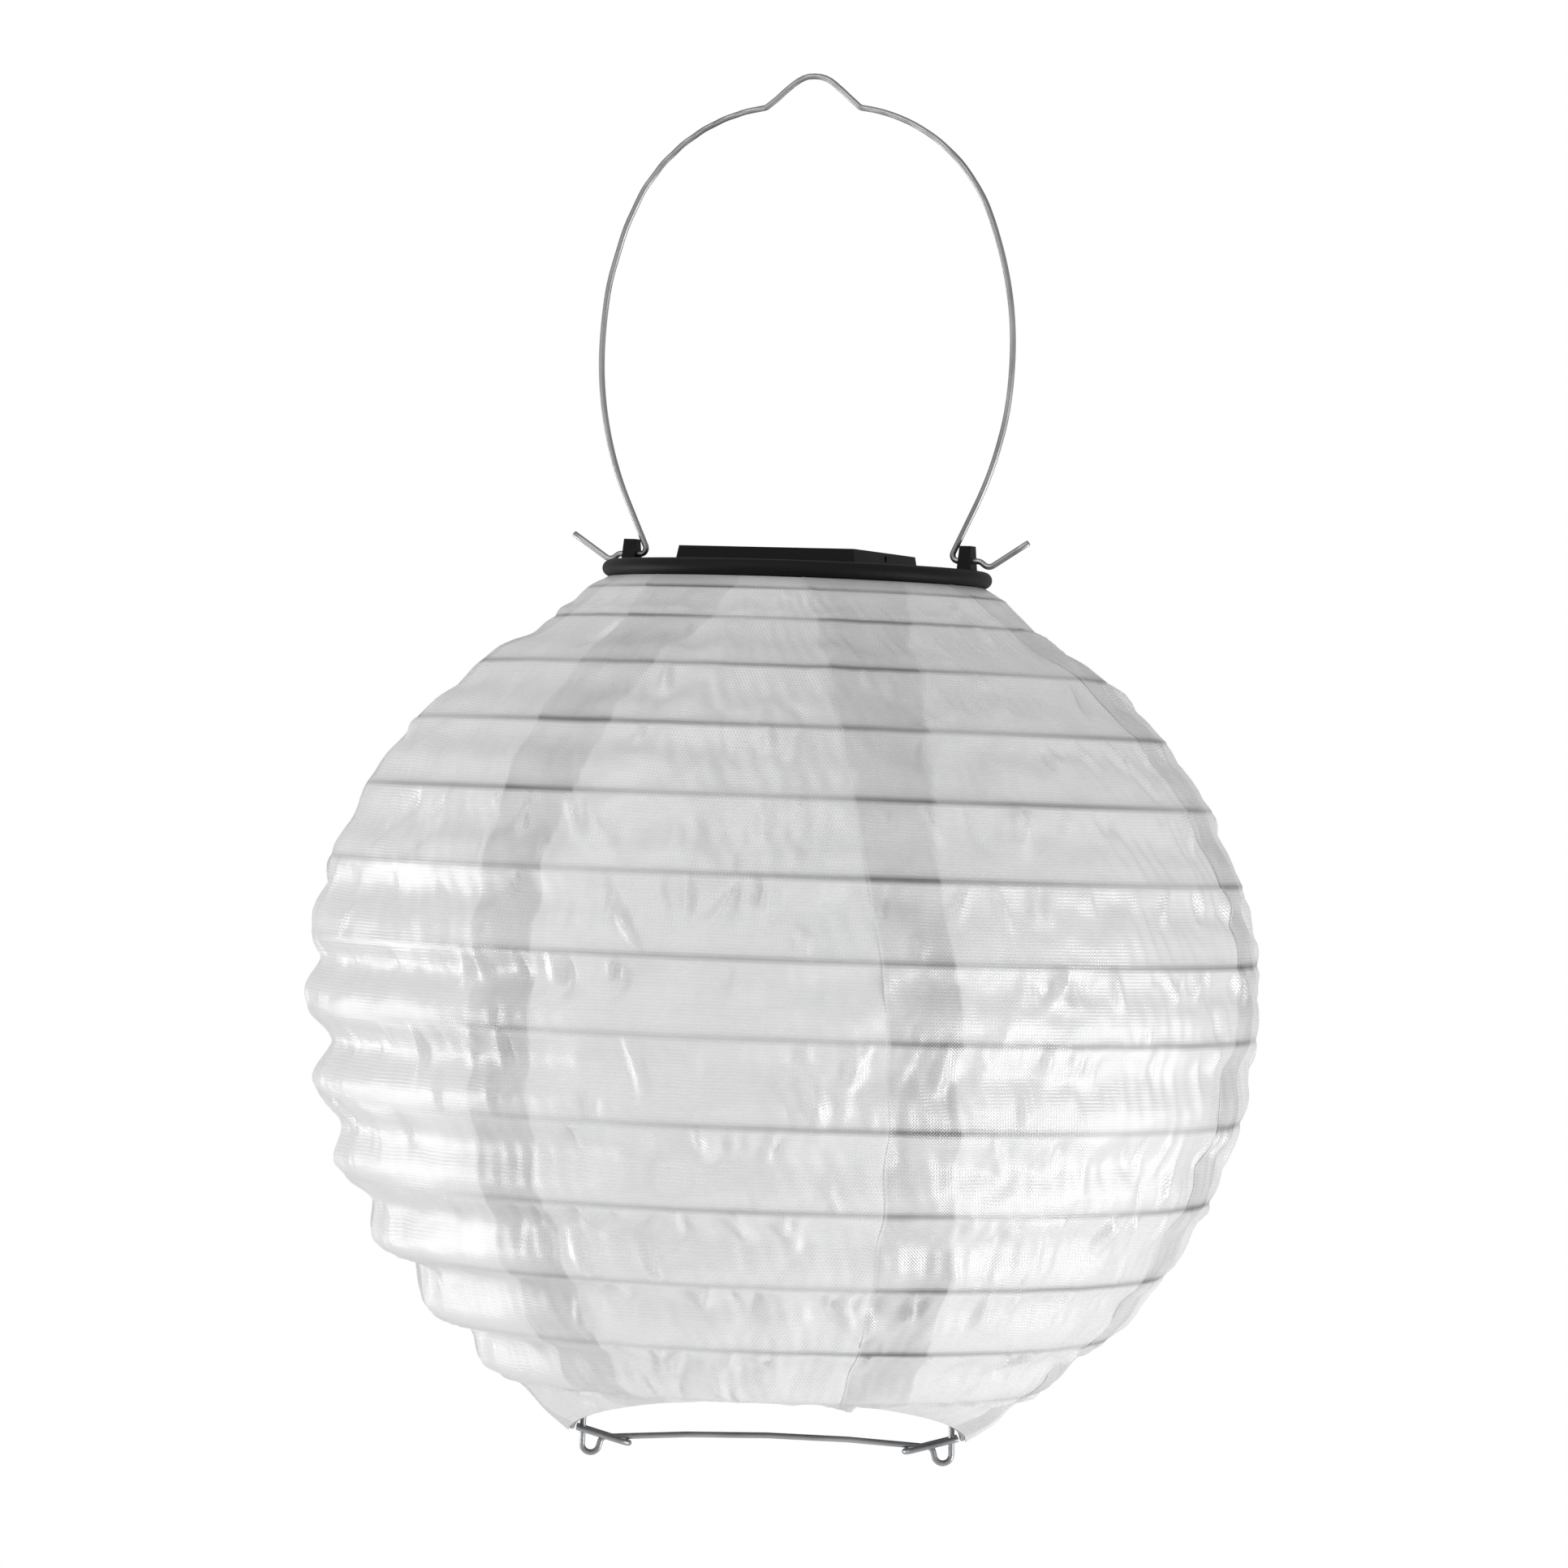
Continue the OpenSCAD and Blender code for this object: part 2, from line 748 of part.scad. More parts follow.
module battery_door() {
    color([0.15, 0.15, 0.16])
        difference() {
            union() {
                slab(tub_x0, tub_x1, tub_y - tub_w / 2, tub_y + tub_w / 2, tub_low - 1.6, tub_low);
                slab(tub_x0 + 2, tub_x0 + 5, tub_y - 8, tub_y + 8, tub_low - 1, tub_low + 1.6);
                slab(tub_x1 - 15, tub_x1 - 12, tub_y - 8, tub_y + 8, tub_low - 1, tub_low + 1.6);
            }
            translate([tub_x1 - 4.5, tub_y, tub_low - 3])
                cylinder(d = 2.6, h = 5, $fn = 24);
        }
}

module door_screw() {
    translate([tub_x1 - 4.5, tub_y, tub_low - 1.6])
        screw(7, 4.6);
}

// ---- slide switch ----

module switch_body() {
    color([0.3, 0.3, 0.32])
        difference() {
            slab(switch_x - 7, switch_x + 7, switch_y - 3, switch_y + 3, plate_bottom - 5.5, plate_bottom);
            slab(switch_x - 5, switch_x + 5, switch_y - 1.8, switch_y + 1.8, plate_bottom - 7, plate_bottom - 2.5);
        }
}

module switch_knob() {
    color([0.85, 0.85, 0.85])
        slab(switch_x - 4, switch_x, switch_y - 1.4, switch_y + 1.4, plate_bottom - 8.5, plate_bottom - 3);
}

// ---- leads ----

module lead_joint(x, y, z) {
    translate([x, y, z])
        sphere(d = 0.94, $fn = 24);
}

module lead_up(x, y, z0, z1) {
    translate([x, y, z0])
        cylinder(d = 0.9, h = z1 - z0, $fn = 20);
}

module panel_leads() {
    color([0.7, 0.1, 0.1])
        for (y = [-3, 3])
            lead_up(-15, lamp_y + y, board_z + 1.2, rim_z + 1.95);
}

module battery_leads() {
    color([0.1, 0.1, 0.1])
        for (s = [-1, 1]) {
            lead_up(-15 + s * 0.75, tub_y + 7, plate_bottom - 1.6, board_z + 0.6);
            lead_joint(-15 + s * 0.75, tub_y + 7, board_z + 0.6);
            translate([-15 + s * 0.75, tub_y + 7, board_z + 0.6])
                rotate([-90, 0, 0])
                    cylinder(d = 0.9, h = lamp_y - 11 - tub_y - 7, $fn = 20);
        }
}

module switch_leads() {
    color([0.1, 0.1, 0.6])
        for (s = [-1, 1]) {
            lead_up(switch_x, switch_y + s * 0.75, plate_bottom, board_z + 0.6);
            lead_joint(switch_x, switch_y + s * 0.75, board_z + 0.6);
            translate([17, switch_y + s * 0.75, board_z + 0.6])
                rotate([0, 90, 0])
                    cylinder(d = 0.9, h = switch_x - 17, $fn = 20);
        }
}

bail_handle();
cap_shell();
solar_cell();
panel_glaze();
base_plate();
base_screw_1();
base_screw_2();
base_screw_3();
base_screw_4();
circuit_board();
led();
led_reflector();
led_lens();
battery();
contact_spring();
contact_plate();
battery_door();
door_screw();
switch_body();
switch_knob();
panel_leads();
battery_leads();
switch_leads();
gore_1();
gore_2();
gore_3();
gore_4();
gore_5();
gore_6();
gore_7();
hoop_0();
hoop_1();
hoop_2();
hoop_3();
hoop_4();
hoop_5();
hoop_6();
hoop_7();
hoop_8();
hoop_9();
hoop_10();
hoop_11();
hoop_12();
hem_wire();
expander_wire();
hem_clip_left();
hem_clip_right();
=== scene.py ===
import json
import math
import bpy
import numpy as np
from mathutils import Matrix, Vector


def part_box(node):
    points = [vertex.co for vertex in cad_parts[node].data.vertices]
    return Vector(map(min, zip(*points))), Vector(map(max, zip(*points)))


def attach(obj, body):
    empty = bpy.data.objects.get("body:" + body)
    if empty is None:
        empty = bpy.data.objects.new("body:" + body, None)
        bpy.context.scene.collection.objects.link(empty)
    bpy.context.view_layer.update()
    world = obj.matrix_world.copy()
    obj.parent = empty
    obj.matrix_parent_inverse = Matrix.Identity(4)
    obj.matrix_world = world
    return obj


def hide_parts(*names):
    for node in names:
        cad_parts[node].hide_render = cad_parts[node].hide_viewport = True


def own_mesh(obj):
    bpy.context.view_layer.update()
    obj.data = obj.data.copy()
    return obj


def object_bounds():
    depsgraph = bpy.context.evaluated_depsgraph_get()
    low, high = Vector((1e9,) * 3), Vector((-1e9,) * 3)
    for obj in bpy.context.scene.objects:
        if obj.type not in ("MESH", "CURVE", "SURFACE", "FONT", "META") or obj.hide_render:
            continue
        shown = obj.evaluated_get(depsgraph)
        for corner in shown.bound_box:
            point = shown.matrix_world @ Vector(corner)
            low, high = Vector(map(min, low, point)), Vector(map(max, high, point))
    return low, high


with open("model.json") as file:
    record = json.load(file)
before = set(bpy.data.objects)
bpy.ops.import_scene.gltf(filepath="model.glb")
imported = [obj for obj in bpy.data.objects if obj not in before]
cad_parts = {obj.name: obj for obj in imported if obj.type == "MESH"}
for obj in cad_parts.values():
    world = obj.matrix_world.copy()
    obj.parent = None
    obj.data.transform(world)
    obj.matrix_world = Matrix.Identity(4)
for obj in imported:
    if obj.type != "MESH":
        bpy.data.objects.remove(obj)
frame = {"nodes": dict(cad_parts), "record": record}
cad_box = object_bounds()

MM = 0.001
LUG_H = 6.4            # a lug's top, above the top of the rim
PIVOT_H = 2.4          # the lug holes, above the top of the rim
CENTRE_DROP = 114.3    # the shade's centre, below the top of the rim
RIM_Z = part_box("cap_shell")[1][2] / MM - LUG_H
PIVOT_Z = RIM_Z + PIVOT_H
SHADE_Z = RIM_Z - CENTRE_DROP
FRAME_TURN = math.radians(22)    # direction of the expander's plane, from the lug axis
WIRE_R = 0.8


# ---------------------------------------------------------------- small tools

def smooth(x, a, b):
    """0 up to a, 1 from b on, and an even curve between."""
    t = np.clip((x - a) / (b - a), 0, 1)
    return t * t * (3 - 2 * t)


def new_mesh(name, points, faces, uv=None, shade_smooth=True):
    """A mesh object from points in metres; uv gives each point's place on the flat cloth."""
    me = bpy.data.meshes.new(name)
    me.from_pydata([tuple(p) for p in points], [], faces)
    me.update()
    if shade_smooth:
        me.polygons.foreach_set("use_smooth", [True] * len(me.polygons))
    if uv is not None:
        layer = me.uv_layers.new(name="cloth")
        loops = np.zeros(len(me.loops), int)
        me.loops.foreach_get("vertex_index", loops)
        layer.data.foreach_set("uv", np.asarray(uv, np.float32)[loops].ravel())
    ob = bpy.data.objects.new(name, me)
    bpy.context.scene.collection.objects.link(ob)
    return ob


def grid_faces(nrow, ncol, closed=False):
    """Faces of a grid of points; a closed one also joins its last column to its first."""
    faces = []
    for a in range(nrow - 1):
        for b in range(ncol if closed else ncol - 1):
            c = (b + 1) % ncol
            faces.append((a * ncol + b, (a + 1) * ncol + b, (a + 1) * ncol + c, a * ncol + c))
    return faces


def turned(x, y, z, turn):
    """A point turned about Z."""
    c, s = math.cos(turn), math.sin(turn)
    return (x * c - y * s, x * s + y * c, z)


def turtle(steps, x, y, head):
    """Points of a bent wire in a plane: steps are (straight, turn in degrees, bend radius)."""
    straight_step, wide_bend, wide_chord, tight_chord = 3, 20, 1.6, 9
    pts = [(x, y)]
    h = math.radians(head)
    for run, turn, r in steps:
        if run > 0:
            n = max(1, int(run / straight_step))
            for k in range(1, n + 1):
                pts.append((x + run * k / n * math.cos(h), y + run * k / n * math.sin(h)))
            x, y = pts[-1]
        if turn:
            side = math.copysign(r, turn)
            t = math.radians(turn)
            n = max(2, int(abs(turn) / (wide_chord if r > wide_bend else tight_chord)))
            for k in range(1, n + 1):
                a = h + t * k / n
                pts.append((x + side * (math.sin(a) - math.sin(h)), y + side * (math.cos(h) - math.cos(a))))
            x, y = pts[-1]
            h += t
    return pts


def tube(name, path, r, sides=14, closed=False):
    """A round wire swept along a path in millimetres; an open one has slightly rounded ends."""
    p = np.array(path, float)
    keep = [0] + [i for i in range(1, len(p)) if np.linalg.norm(p[i] - p[i - 1]) > 1e-4]
    p = p[keep]
    n = len(p)
    tan = np.roll(p, -1, 0) - np.roll(p, 1, 0) if closed else np.gradient(p, axis=0)
    tan /= np.linalg.norm(tan, axis=1)[:, None]
    # one side direction is carried along the wire, so that the rings don't twist
    up = np.cross(tan[0], [0.31, 0.52, 0.79])
    up /= np.linalg.norm(up)
    ups = []
    for i in range(n):
        up = up - tan[i] * np.dot(up, tan[i])
        up /= np.linalg.norm(up)
        ups.append(up.copy())
    radii = [r] * n
    if not closed:
        # each end gets a smaller ring just past it and a full one just inside it
        p = np.vstack([
            p[0] - tan[0] * r * 0.02, p[0] + tan[0] * r * 0.16, p[1:-1],
            p[-1] - tan[-1] * r * 0.16, p[-1] + tan[-1] * r * 0.02,
        ])
        tan = np.vstack([tan[0], tan[0], tan[1:-1], tan[-1], tan[-1]])
        ups = [ups[0], ups[0]] + ups[1:-1] + [ups[-1], ups[-1]]
        radii = [r * 0.8, r] + [r] * (n - 2) + [r, r * 0.8]
        n = len(p)
    ang = np.linspace(0, 2 * math.pi, sides, endpoint=False)
    rings = []
    for i in range(n):
        side = np.cross(tan[i], ups[i])
        rings.append(p[i] + radii[i] * (np.cos(ang)[:, None] * ups[i] + np.sin(ang)[:, None] * side))
    v = np.vstack(rings) * MM
    faces = []
    for i in range(n if closed else n - 1):
        a, b = i * sides, (i + 1) % n * sides
        for k in range(sides):
            k1 = (k + 1) % sides
            faces.append((a + k, b + k, b + k1, a + k1))
    if not closed:
        faces.append(tuple(range(sides)))
        faces.append(tuple(range((n - 1) * sides + sides - 1, (n - 1) * sides - 1, -1)))
    ob = new_mesh(name, v, faces)
    ob.data.validate()
    return ob


# ---------------------------------------------------------------- materials

def material(name):
    m = bpy.data.materials.new(name)
    m.use_nodes = True
    return m, m.node_tree, m.node_tree.nodes["Principled BSDF"]


def node(t, kind, **inputs):
    """A new node. Each name is one of its settings, or else an input with _ for a space."""
    n = t.nodes.new(kind)
    for k, v in inputs.items():
        if hasattr(n, k):
            setattr(n, k, v)
        else:
            n.inputs[k.replace("_", " ")].default_value = v
    return n


def math_node(t, op, a, b=None, c=None):
    """The result of an operation on sockets or plain numbers."""
    n = t.nodes.new("ShaderNodeMath")
    n.operation = op
    for i, x in enumerate((a, b, c)):
        if x is None:
            continue
        if isinstance(x, (int, float)):
            n.inputs[i].default_value = x
        else:
            t.links.new(x, n.inputs[i])
    return n.outputs[0]


def noise(t, scale, detail):
    """A noise from 0 to 1 in the object's own space, in waves per metre."""
    n = node(t, "ShaderNodeTexNoise", Scale=scale, Detail=detail)
    t.links.new(t.nodes.new("ShaderNodeTexCoord").outputs["Object"], n.inputs["Vector"])
    return n.outputs["Fac"]


def bump(t, height, strength, depth, *normals):
    """Raises the surface by a height, for each of the normal inputs given."""
    n = node(t, "ShaderNodeBump", Strength=strength, Distance=depth)
    t.links.new(height, n.inputs["Height"])
    for socket in normals:
        t.links.new(n.outputs["Normal"], socket)


def plastic(name, colour, rough=0.5, grain=0.12, scale=900.0, spec=0.4):
    """Moulded plastic: a fine grain, with tone and gloss that vary a little."""
    m, t, b = material(name)
    broad = noise(t, 28.0, 4.0)
    mix = node(t, "ShaderNodeMix", data_type="RGBA")
    mix.inputs["A"].default_value = (*[c * 0.82 for c in colour], 1)
    mix.inputs["B"].default_value = (*[min(1, c * 1.25 + 0.002) for c in colour], 1)
    t.links.new(broad, mix.inputs["Factor"])
    t.links.new(mix.outputs["Result"], b.inputs["Base Color"])
    t.links.new(math_node(t, "MULTIPLY_ADD", broad, 0.16, rough - 0.08), b.inputs["Roughness"])
    bump(t, noise(t, scale, 3.0), grain, 0.0002, b.inputs["Normal"])
    b.inputs["Specular IOR Level"].default_value = spec
    return m


def metal(name, colour, rough=0.35, streak=0.25):
    """Plain or plated metal, duller in patches."""
    m, t, b = material(name)
    broad = noise(t, 55.0, 5.0)
    ramp = t.nodes.new("ShaderNodeValToRGB")
    dull, bright = ramp.color_ramp.elements
    dull.position, dull.color = 0.3, (*[c * 0.62 for c in colour], 1)
    bright.position, bright.color = 0.72, (*colour, 1)
    t.links.new(broad, ramp.inputs["Fac"])
    t.links.new(ramp.outputs["Color"], b.inputs["Base Color"])
    t.links.new(math_node(t, "MULTIPLY_ADD", broad, streak, rough - streak / 2), b.inputs["Roughness"])
    bump(t, noise(t, 700.0, 4.0), 0.15, 0.0001, b.inputs["Normal"])
    b.inputs["Metallic"].default_value = 1.0
    return m


def nylon():
    """Thin white woven nylon: fine over-and-under weave, satin sheen, light passes through."""
    m, t, b = material("white_nylon")
    through = t.nodes.new("ShaderNodeBsdfTranslucent")
    uv = node(t, "ShaderNodeUVMap", uv_map="cloth")
    sep = t.nodes.new("ShaderNodeSeparateXYZ")
    t.links.new(uv.outputs["UV"], sep.inputs["Vector"])
    pitch = 0.00085
    warp = math_node(t, "SINE", math_node(t, "MULTIPLY", sep.outputs["X"], 2 * math.pi / pitch))
    weft = math_node(t, "SINE", math_node(t, "MULTIPLY", sep.outputs["Y"], 2 * math.pi / pitch))
    cell = math_node(t, "MULTIPLY", weft, warp)
    weave = math_node(t, "ADD", math_node(t, "MULTIPLY", weft, 0.35), math_node(t, "MULTIPLY", cell, 0.75))
    # slubs: thicker threads, long across the cloth and narrow down it
    stretch = t.nodes.new("ShaderNodeMapping")
    stretch.inputs["Scale"].default_value = (60, 1500, 1)
    t.links.new(uv.outputs["UV"], stretch.inputs["Vector"])
    threads = node(t, "ShaderNodeTexNoise", Scale=1.0, Detail=2.0)
    t.links.new(stretch.outputs["Vector"], threads.inputs["Vector"])
    slub = threads.outputs["Fac"]
    patch = noise(t, 34.0, 4.0)
    strength = math_node(t, "MULTIPLY_ADD", patch, 0.9, 0.1)
    height = math_node(t, "MULTIPLY", math_node(t, "ADD", weave, slub), strength)
    bump(t, height, 1.0, 0.0001, b.inputs["Normal"], b.inputs["Coat Normal"], through.inputs["Normal"])

    # the tone: white, a little uneven, with a painted shadow of the wire along each rib and painted shade
    # where two layers are glued
    tone = math_node(t, "MULTIPLY_ADD", weave, 0.06, 0.725)
    for uneven in (patch, slub):
        tone = math_node(t, "ADD", tone, math_node(t, "MULTIPLY_ADD", uneven, 0.05, -0.025))
    # painted shadow of each rib's wire, read from the cloth's rib attribute
    rib = node(t, "ShaderNodeAttribute", attribute_name="rib")
    tone = math_node(t, "SUBTRACT", tone, math_node(t, "MULTIPLY", rib.outputs["Fac"], 0.37))
    # painted shade over the glued lap, patchy: the lap attribute times a noise
    lap = node(t, "ShaderNodeAttribute", attribute_name="lap")
    lap_shade = math_node(t, "MULTIPLY_ADD", noise(t, 70.0, 3.0), 0.24, -0.03)
    tone = math_node(t, "SUBTRACT", tone, math_node(t, "MULTIPLY", lap.outputs["Fac"], lap_shade))
    colour = t.nodes.new("ShaderNodeCombineColor")
    t.links.new(tone, colour.inputs[0])
    t.links.new(tone, colour.inputs[1])
    t.links.new(math_node(t, "ADD", tone, 0.004), colour.inputs[2])
    t.links.new(colour.outputs[0], b.inputs["Base Color"])
    t.links.new(colour.outputs[0], through.inputs["Color"])

    b.inputs["Roughness"].default_value = 0.31
    b.inputs["Specular IOR Level"].default_value = 1.0
    b.inputs["Coat Weight"].default_value = 0.4
    b.inputs["Coat Roughness"].default_value = 0.28
    b.inputs["Coat IOR"].default_value = 1.7
    b.inputs["Sheen Weight"].default_value = 0.12
    b.inputs["Sheen Roughness"].default_value = 0.4
    mix = t.nodes.new("ShaderNodeMixShader")
    mix.inputs[0].default_value = 0.32
    t.links.new(b.outputs[0], mix.inputs[1])
    t.links.new(through.outputs[0], mix.inputs[2])
    t.links.new(mix.outputs[0], t.nodes["Material Output"].inputs["Surface"])
    return m


def solar_face():
    """Dark cells with fine bus bars and fingers, under the clear resin."""
    m, t, b = material("solar_cells")
    co = t.nodes.new("ShaderNodeTexCoord")
    sep = t.nodes.new("ShaderNodeSeparateXYZ")
    t.links.new(co.outputs["Object"], sep.inputs["Vector"])

    def lines(axis, pitch, width):
        f = math_node(t, "FRACT", math_node(t, "MULTIPLY_ADD", axis, 1 / pitch, 0.5))
        off = math_node(t, "ABSOLUTE", math_node(t, "SUBTRACT", f, 0.5))
        return math_node(t, "LESS_THAN", off, width / pitch / 2)

    bars = lines(sep.outputs["X"], 0.011, 0.0008)
    fingers = math_node(t, "MULTIPLY", lines(sep.outputs["Y"], 0.0022, 0.00018), 0.6)
    crystal = node(t, "ShaderNodeTexVoronoi", Scale=260.0)
    t.links.new(co.outputs["Object"], crystal.inputs["Vector"])
    dark = node(t, "ShaderNodeMix", data_type="RGBA")
    dark.inputs["A"].default_value = (0.006, 0.009, 0.03, 1)
    dark.inputs["B"].default_value = (0.015, 0.024, 0.075, 1)
    t.links.new(crystal.outputs["Distance"], dark.inputs["Factor"])
    mix = node(t, "ShaderNodeMix", data_type="RGBA")
    mix.inputs["B"].default_value = (0.55, 0.56, 0.58, 1)
    t.links.new(dark.outputs["Result"], mix.inputs["A"])
    t.links.new(math_node(t, "MAXIMUM", bars, fingers), mix.inputs["Factor"])
    t.links.new(mix.outputs["Result"], b.inputs["Base Color"])
    b.inputs["Roughness"].default_value = 0.25
    return m


def clear(name, colour, rough, alpha):
    """Resin or lens plastic that is seen through."""
    m, t, b = material(name)
    t.links.new(math_node(t, "MULTIPLY_ADD", noise(t, 60.0, 3.0), 0.1, rough), b.inputs["Roughness"])
    b.inputs["Base Color"].default_value = (*colour, 1)
    b.inputs["Alpha"].default_value = alpha
    return m


MATS = {
    "wire": metal("zinc_wire", (0.33, 0.335, 0.345), 0.42, 0.3),
    "hoop_wire": metal("hoop_steel", (0.30, 0.30, 0.31), 0.45, 0.2),
    "black_plastic": plastic("black_plastic", (0.0045, 0.0045, 0.005), 0.58, 0.35, 1500, 0.1),
    "solar": solar_face(),
    "glaze": clear("clear_resin", (0.75, 0.8, 0.85), 0.04, 0.18),
    "board": plastic("green_board", (0.03, 0.16, 0.07), 0.35, 0.1, 500),
    "lamp": clear("lamp_resin", (0.95, 0.92, 0.75), 0.1, 0.9),
    "mirror_metal": metal("bright_reflector", (0.85, 0.85, 0.86), 0.15, 0.1),
    "diffuser": clear("frosted_lens", (0.92, 0.92, 0.93), 0.45, 0.75),
    "cell_jacket": plastic("cell_jacket", (0.05, 0.28, 0.12), 0.3, 0.05, 300),
    "contacts": metal("plated_contact", (0.62, 0.58, 0.48), 0.3, 0.2),
    "screw_steel": metal("screw_steel", (0.36, 0.36, 0.38), 0.35, 0.2),
    "grey_plastic": plastic("grey_plastic", (0.07, 0.07, 0.075), 0.5),
    "white_plastic": plastic("white_plastic", (0.72, 0.72, 0.71), 0.45),
    "lead_red": plastic("red_lead", (0.5, 0.03, 0.02), 0.45),
    "lead_black": plastic("black_lead", (0.015, 0.015, 0.015), 0.45),
    "lead_blue": plastic("blue_lead", (0.02, 0.05, 0.4), 0.45),
    "nylon": nylon(),
}


def paint(ob, key):
    """Gives a piece the material of its slot."""
    ob.data.materials.clear()
    ob.data.materials.append(MATS[key])


slot_of = {s["node"]: s["material_slot"] for s in frame["record"]["subparts"]}
for name, ob in frame["nodes"].items():
    paint(ob, slot_of[name])

# moulded and turned pieces get small rounded edges
for name, width in (
    ("cap_shell", 0.5), ("base_plate", 0.4), ("battery_door", 0.4), ("switch_body", 0.25),
    ("switch_knob", 0.3), ("solar_cell", 0.1), ("panel_glaze", 0.3), ("circuit_board", 0.08),
    ("battery", 0.4), ("led_lens", 0.3),
):
    ob = frame["nodes"][name]
    mod = ob.modifiers.new("edge", "BEVEL")
    mod.width = width * MM
    mod.segments = 3
    mod.limit_method = "ANGLE"
    mod.angle_limit = math.radians(38)
    mod.use_clamp_overlap = True


# ---------------------------------------------------------------- bent wires

def stand(points, turn=0.0, side=1):
    """Takes plane points (x, z) to 3D, mirrored by side and turned about Z."""
    return [turned(x * side, 0.0, z, turn) for x, z in points]


ELBOW_X = 45.6    # where the bail's wire leaves a lug hole and turns up


def bail_points():
    """Half of the bail, from the lug hole's inner end over the side and shoulder to the crown."""
    half, wide_h, side_r, shoulder_r = 59, 55, 95, 47
    elbow_r, crown_slope, crown_r = 1.6, 40, 9
    side_top, shoulder_top = 24, 82.5    # slope of the wire where the side and the shoulder end
    gap_x, gap_z = ELBOW_X - (half - side_r), wide_h - elbow_r
    gap = math.hypot(gap_x, gap_z)
    lean = math.degrees(math.atan2(gap_z, gap_x) - math.acos((side_r + elbow_r) / gap))
    foot = math.sqrt(gap * gap - (side_r + elbow_r) ** 2)
    steps = [
        (0, -(90 + lean), elbow_r), (foot, lean + side_top, side_r),
        (0, shoulder_top - side_top, shoulder_r), (0, 90 - shoulder_top - crown_slope, 2),
    ]
    left = turtle(steps, ELBOW_X, 0, 180)[-1][0] - crown_r * math.sin(math.radians(180 - crown_slope))
    steps.append((left / math.cos(math.radians(crown_slope)), crown_slope, crown_r))
    return turtle(steps, ELBOW_X, 0, 180)


def hand(x, z):
    """Hand-bent wire is never quite in one plane."""
    t = smooth(z - PIVOT_Z, 12, 60)
    return t * (0.35 * math.sin(z * 0.05 + (1.3 if x > 0 else 0)) + 0.2 * math.sin(z * 0.13 + x))


tail = turtle([(5.5, -37, 2), (0.9, 70, 2.2), (11.5, 0, 0)], ELBOW_X, 0, 0)
right = [(x, z + PIVOT_Z) for x, z in tail[::-1] + bail_points()[1:]]
left = [(-x, z) for x, z in right]
path = [(x, hand(x, z), z) for x, z in right + left[::-1][1:]]
bail = tube("bail_wire", path, WIRE_R, 16)
paint(bail, "wire")
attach(bail, "bail")
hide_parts("bail_handle")


def expander_points():
    """Half of the expander, from its socket down to the middle of the crossbar, and the bar's bend."""
    socket_r, socket_l, lean, loop_r, loop_turn, bow = 45.4, 12, 1.16, 2.3, -166, 4.5
    plate_drop, plate_t, socket_gap, loop_depth = 6.1, 2, 1.6, 126.6
    top = RIM_Z - plate_drop - plate_t - socket_gap
    low = SHADE_Z - loop_depth + WIRE_R
    fall = loop_r * (1 - math.sin(math.radians(lean)))
    run = (top - socket_l - low - fall) / math.cos(math.radians(lean))
    bar = 180 - bow - (-90 + lean + loop_turn + 360)
    steps = [(socket_l, lean, 30), (run - 0.6, loop_turn, loop_r), (1.5, bar, 1.6)]
    r = turtle(steps, socket_r, top, -90)[-1][0] / math.sin(math.radians(bow))
    return turtle(steps + [(0, bow, r)], socket_r, top, -90), r


frame_half, bow_r = expander_points()
bar_z = frame_half[-1][1]
path = stand(frame_half, FRAME_TURN) + stand(frame_half[::-1][1:], FRAME_TURN, -1)
expander = tube("expander_frame", path, WIRE_R, 14)
paint(expander, "wire")
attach(expander, "expander")
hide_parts("expander_wire")

HEM_R, HEM_DROP, HEM_RISE = 52.6, 119.0, math.radians(16)
HEM_CHORDS = 144


def hem_point(psi):
    """The hem ring: two half circles that rise from a fold line through the corners."""
    x = HEM_R * math.cos(psi)
    s = HEM_R * math.sin(psi)
    return (x, s * math.cos(HEM_RISE), SHADE_Z - HEM_DROP + abs(s) * math.sin(HEM_RISE))


ring = [turned(*hem_point(2 * math.pi * k / HEM_CHORDS), FRAME_TURN) for k in range(HEM_CHORDS)]
hem = tube("hem_ring", ring, WIRE_R, 12, closed=True)
paint(hem, "wire")
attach(hem, "hem")
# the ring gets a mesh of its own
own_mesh(hem)
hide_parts("hem_wire")

# each clip is a hairpin that lies on the crossbar and ends just inside the hem's corner
clip_in, clip_half, clip_out = 37.2, 2.4, HEM_R - WIRE_R - 0.4
clip_z = bar_z - bow_r * (1 - math.cos(math.asin(clip_in / bow_r))) - 1.9
clip_end = SHADE_Z - HEM_DROP
clip_run = clip_out - clip_in - clip_half
for name, turn in (("hem_clip_right", FRAME_TURN), ("hem_clip_left", FRAME_TURN + math.pi)):
    pts = [(clip_out - clip_run * k / 6, clip_half) for k in range(7)]
    pts += [(clip_in + clip_half - clip_half * math.sin(a), clip_half * math.cos(a))
            for a in np.linspace(0.15, math.pi - 0.15, 15)]
    pts += [(clip_in + clip_half + clip_run * k / 6, -clip_half) for k in range(7)]
    path = [turned(x, y, clip_z + (clip_end - clip_z) * (x - clip_in) / (clip_out - clip_in), turn)
            for x, y in pts]
    pin = tube(name + "_wire", path, WIRE_R, 14)
    paint(pin, "wire")
    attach(pin, "expander")
    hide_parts(name)


# ---------------------------------------------------------------- the shade

SHADE_R, UPPER_H = 128.4, 115.0
UPPER_FIRST, UPPER_STEP = 5.8, 10.75    # angles of the hoops over the shade's centre, in degrees
LOWER_FIRST, LOWER_STEP = 3.8, 10.2     # and under it
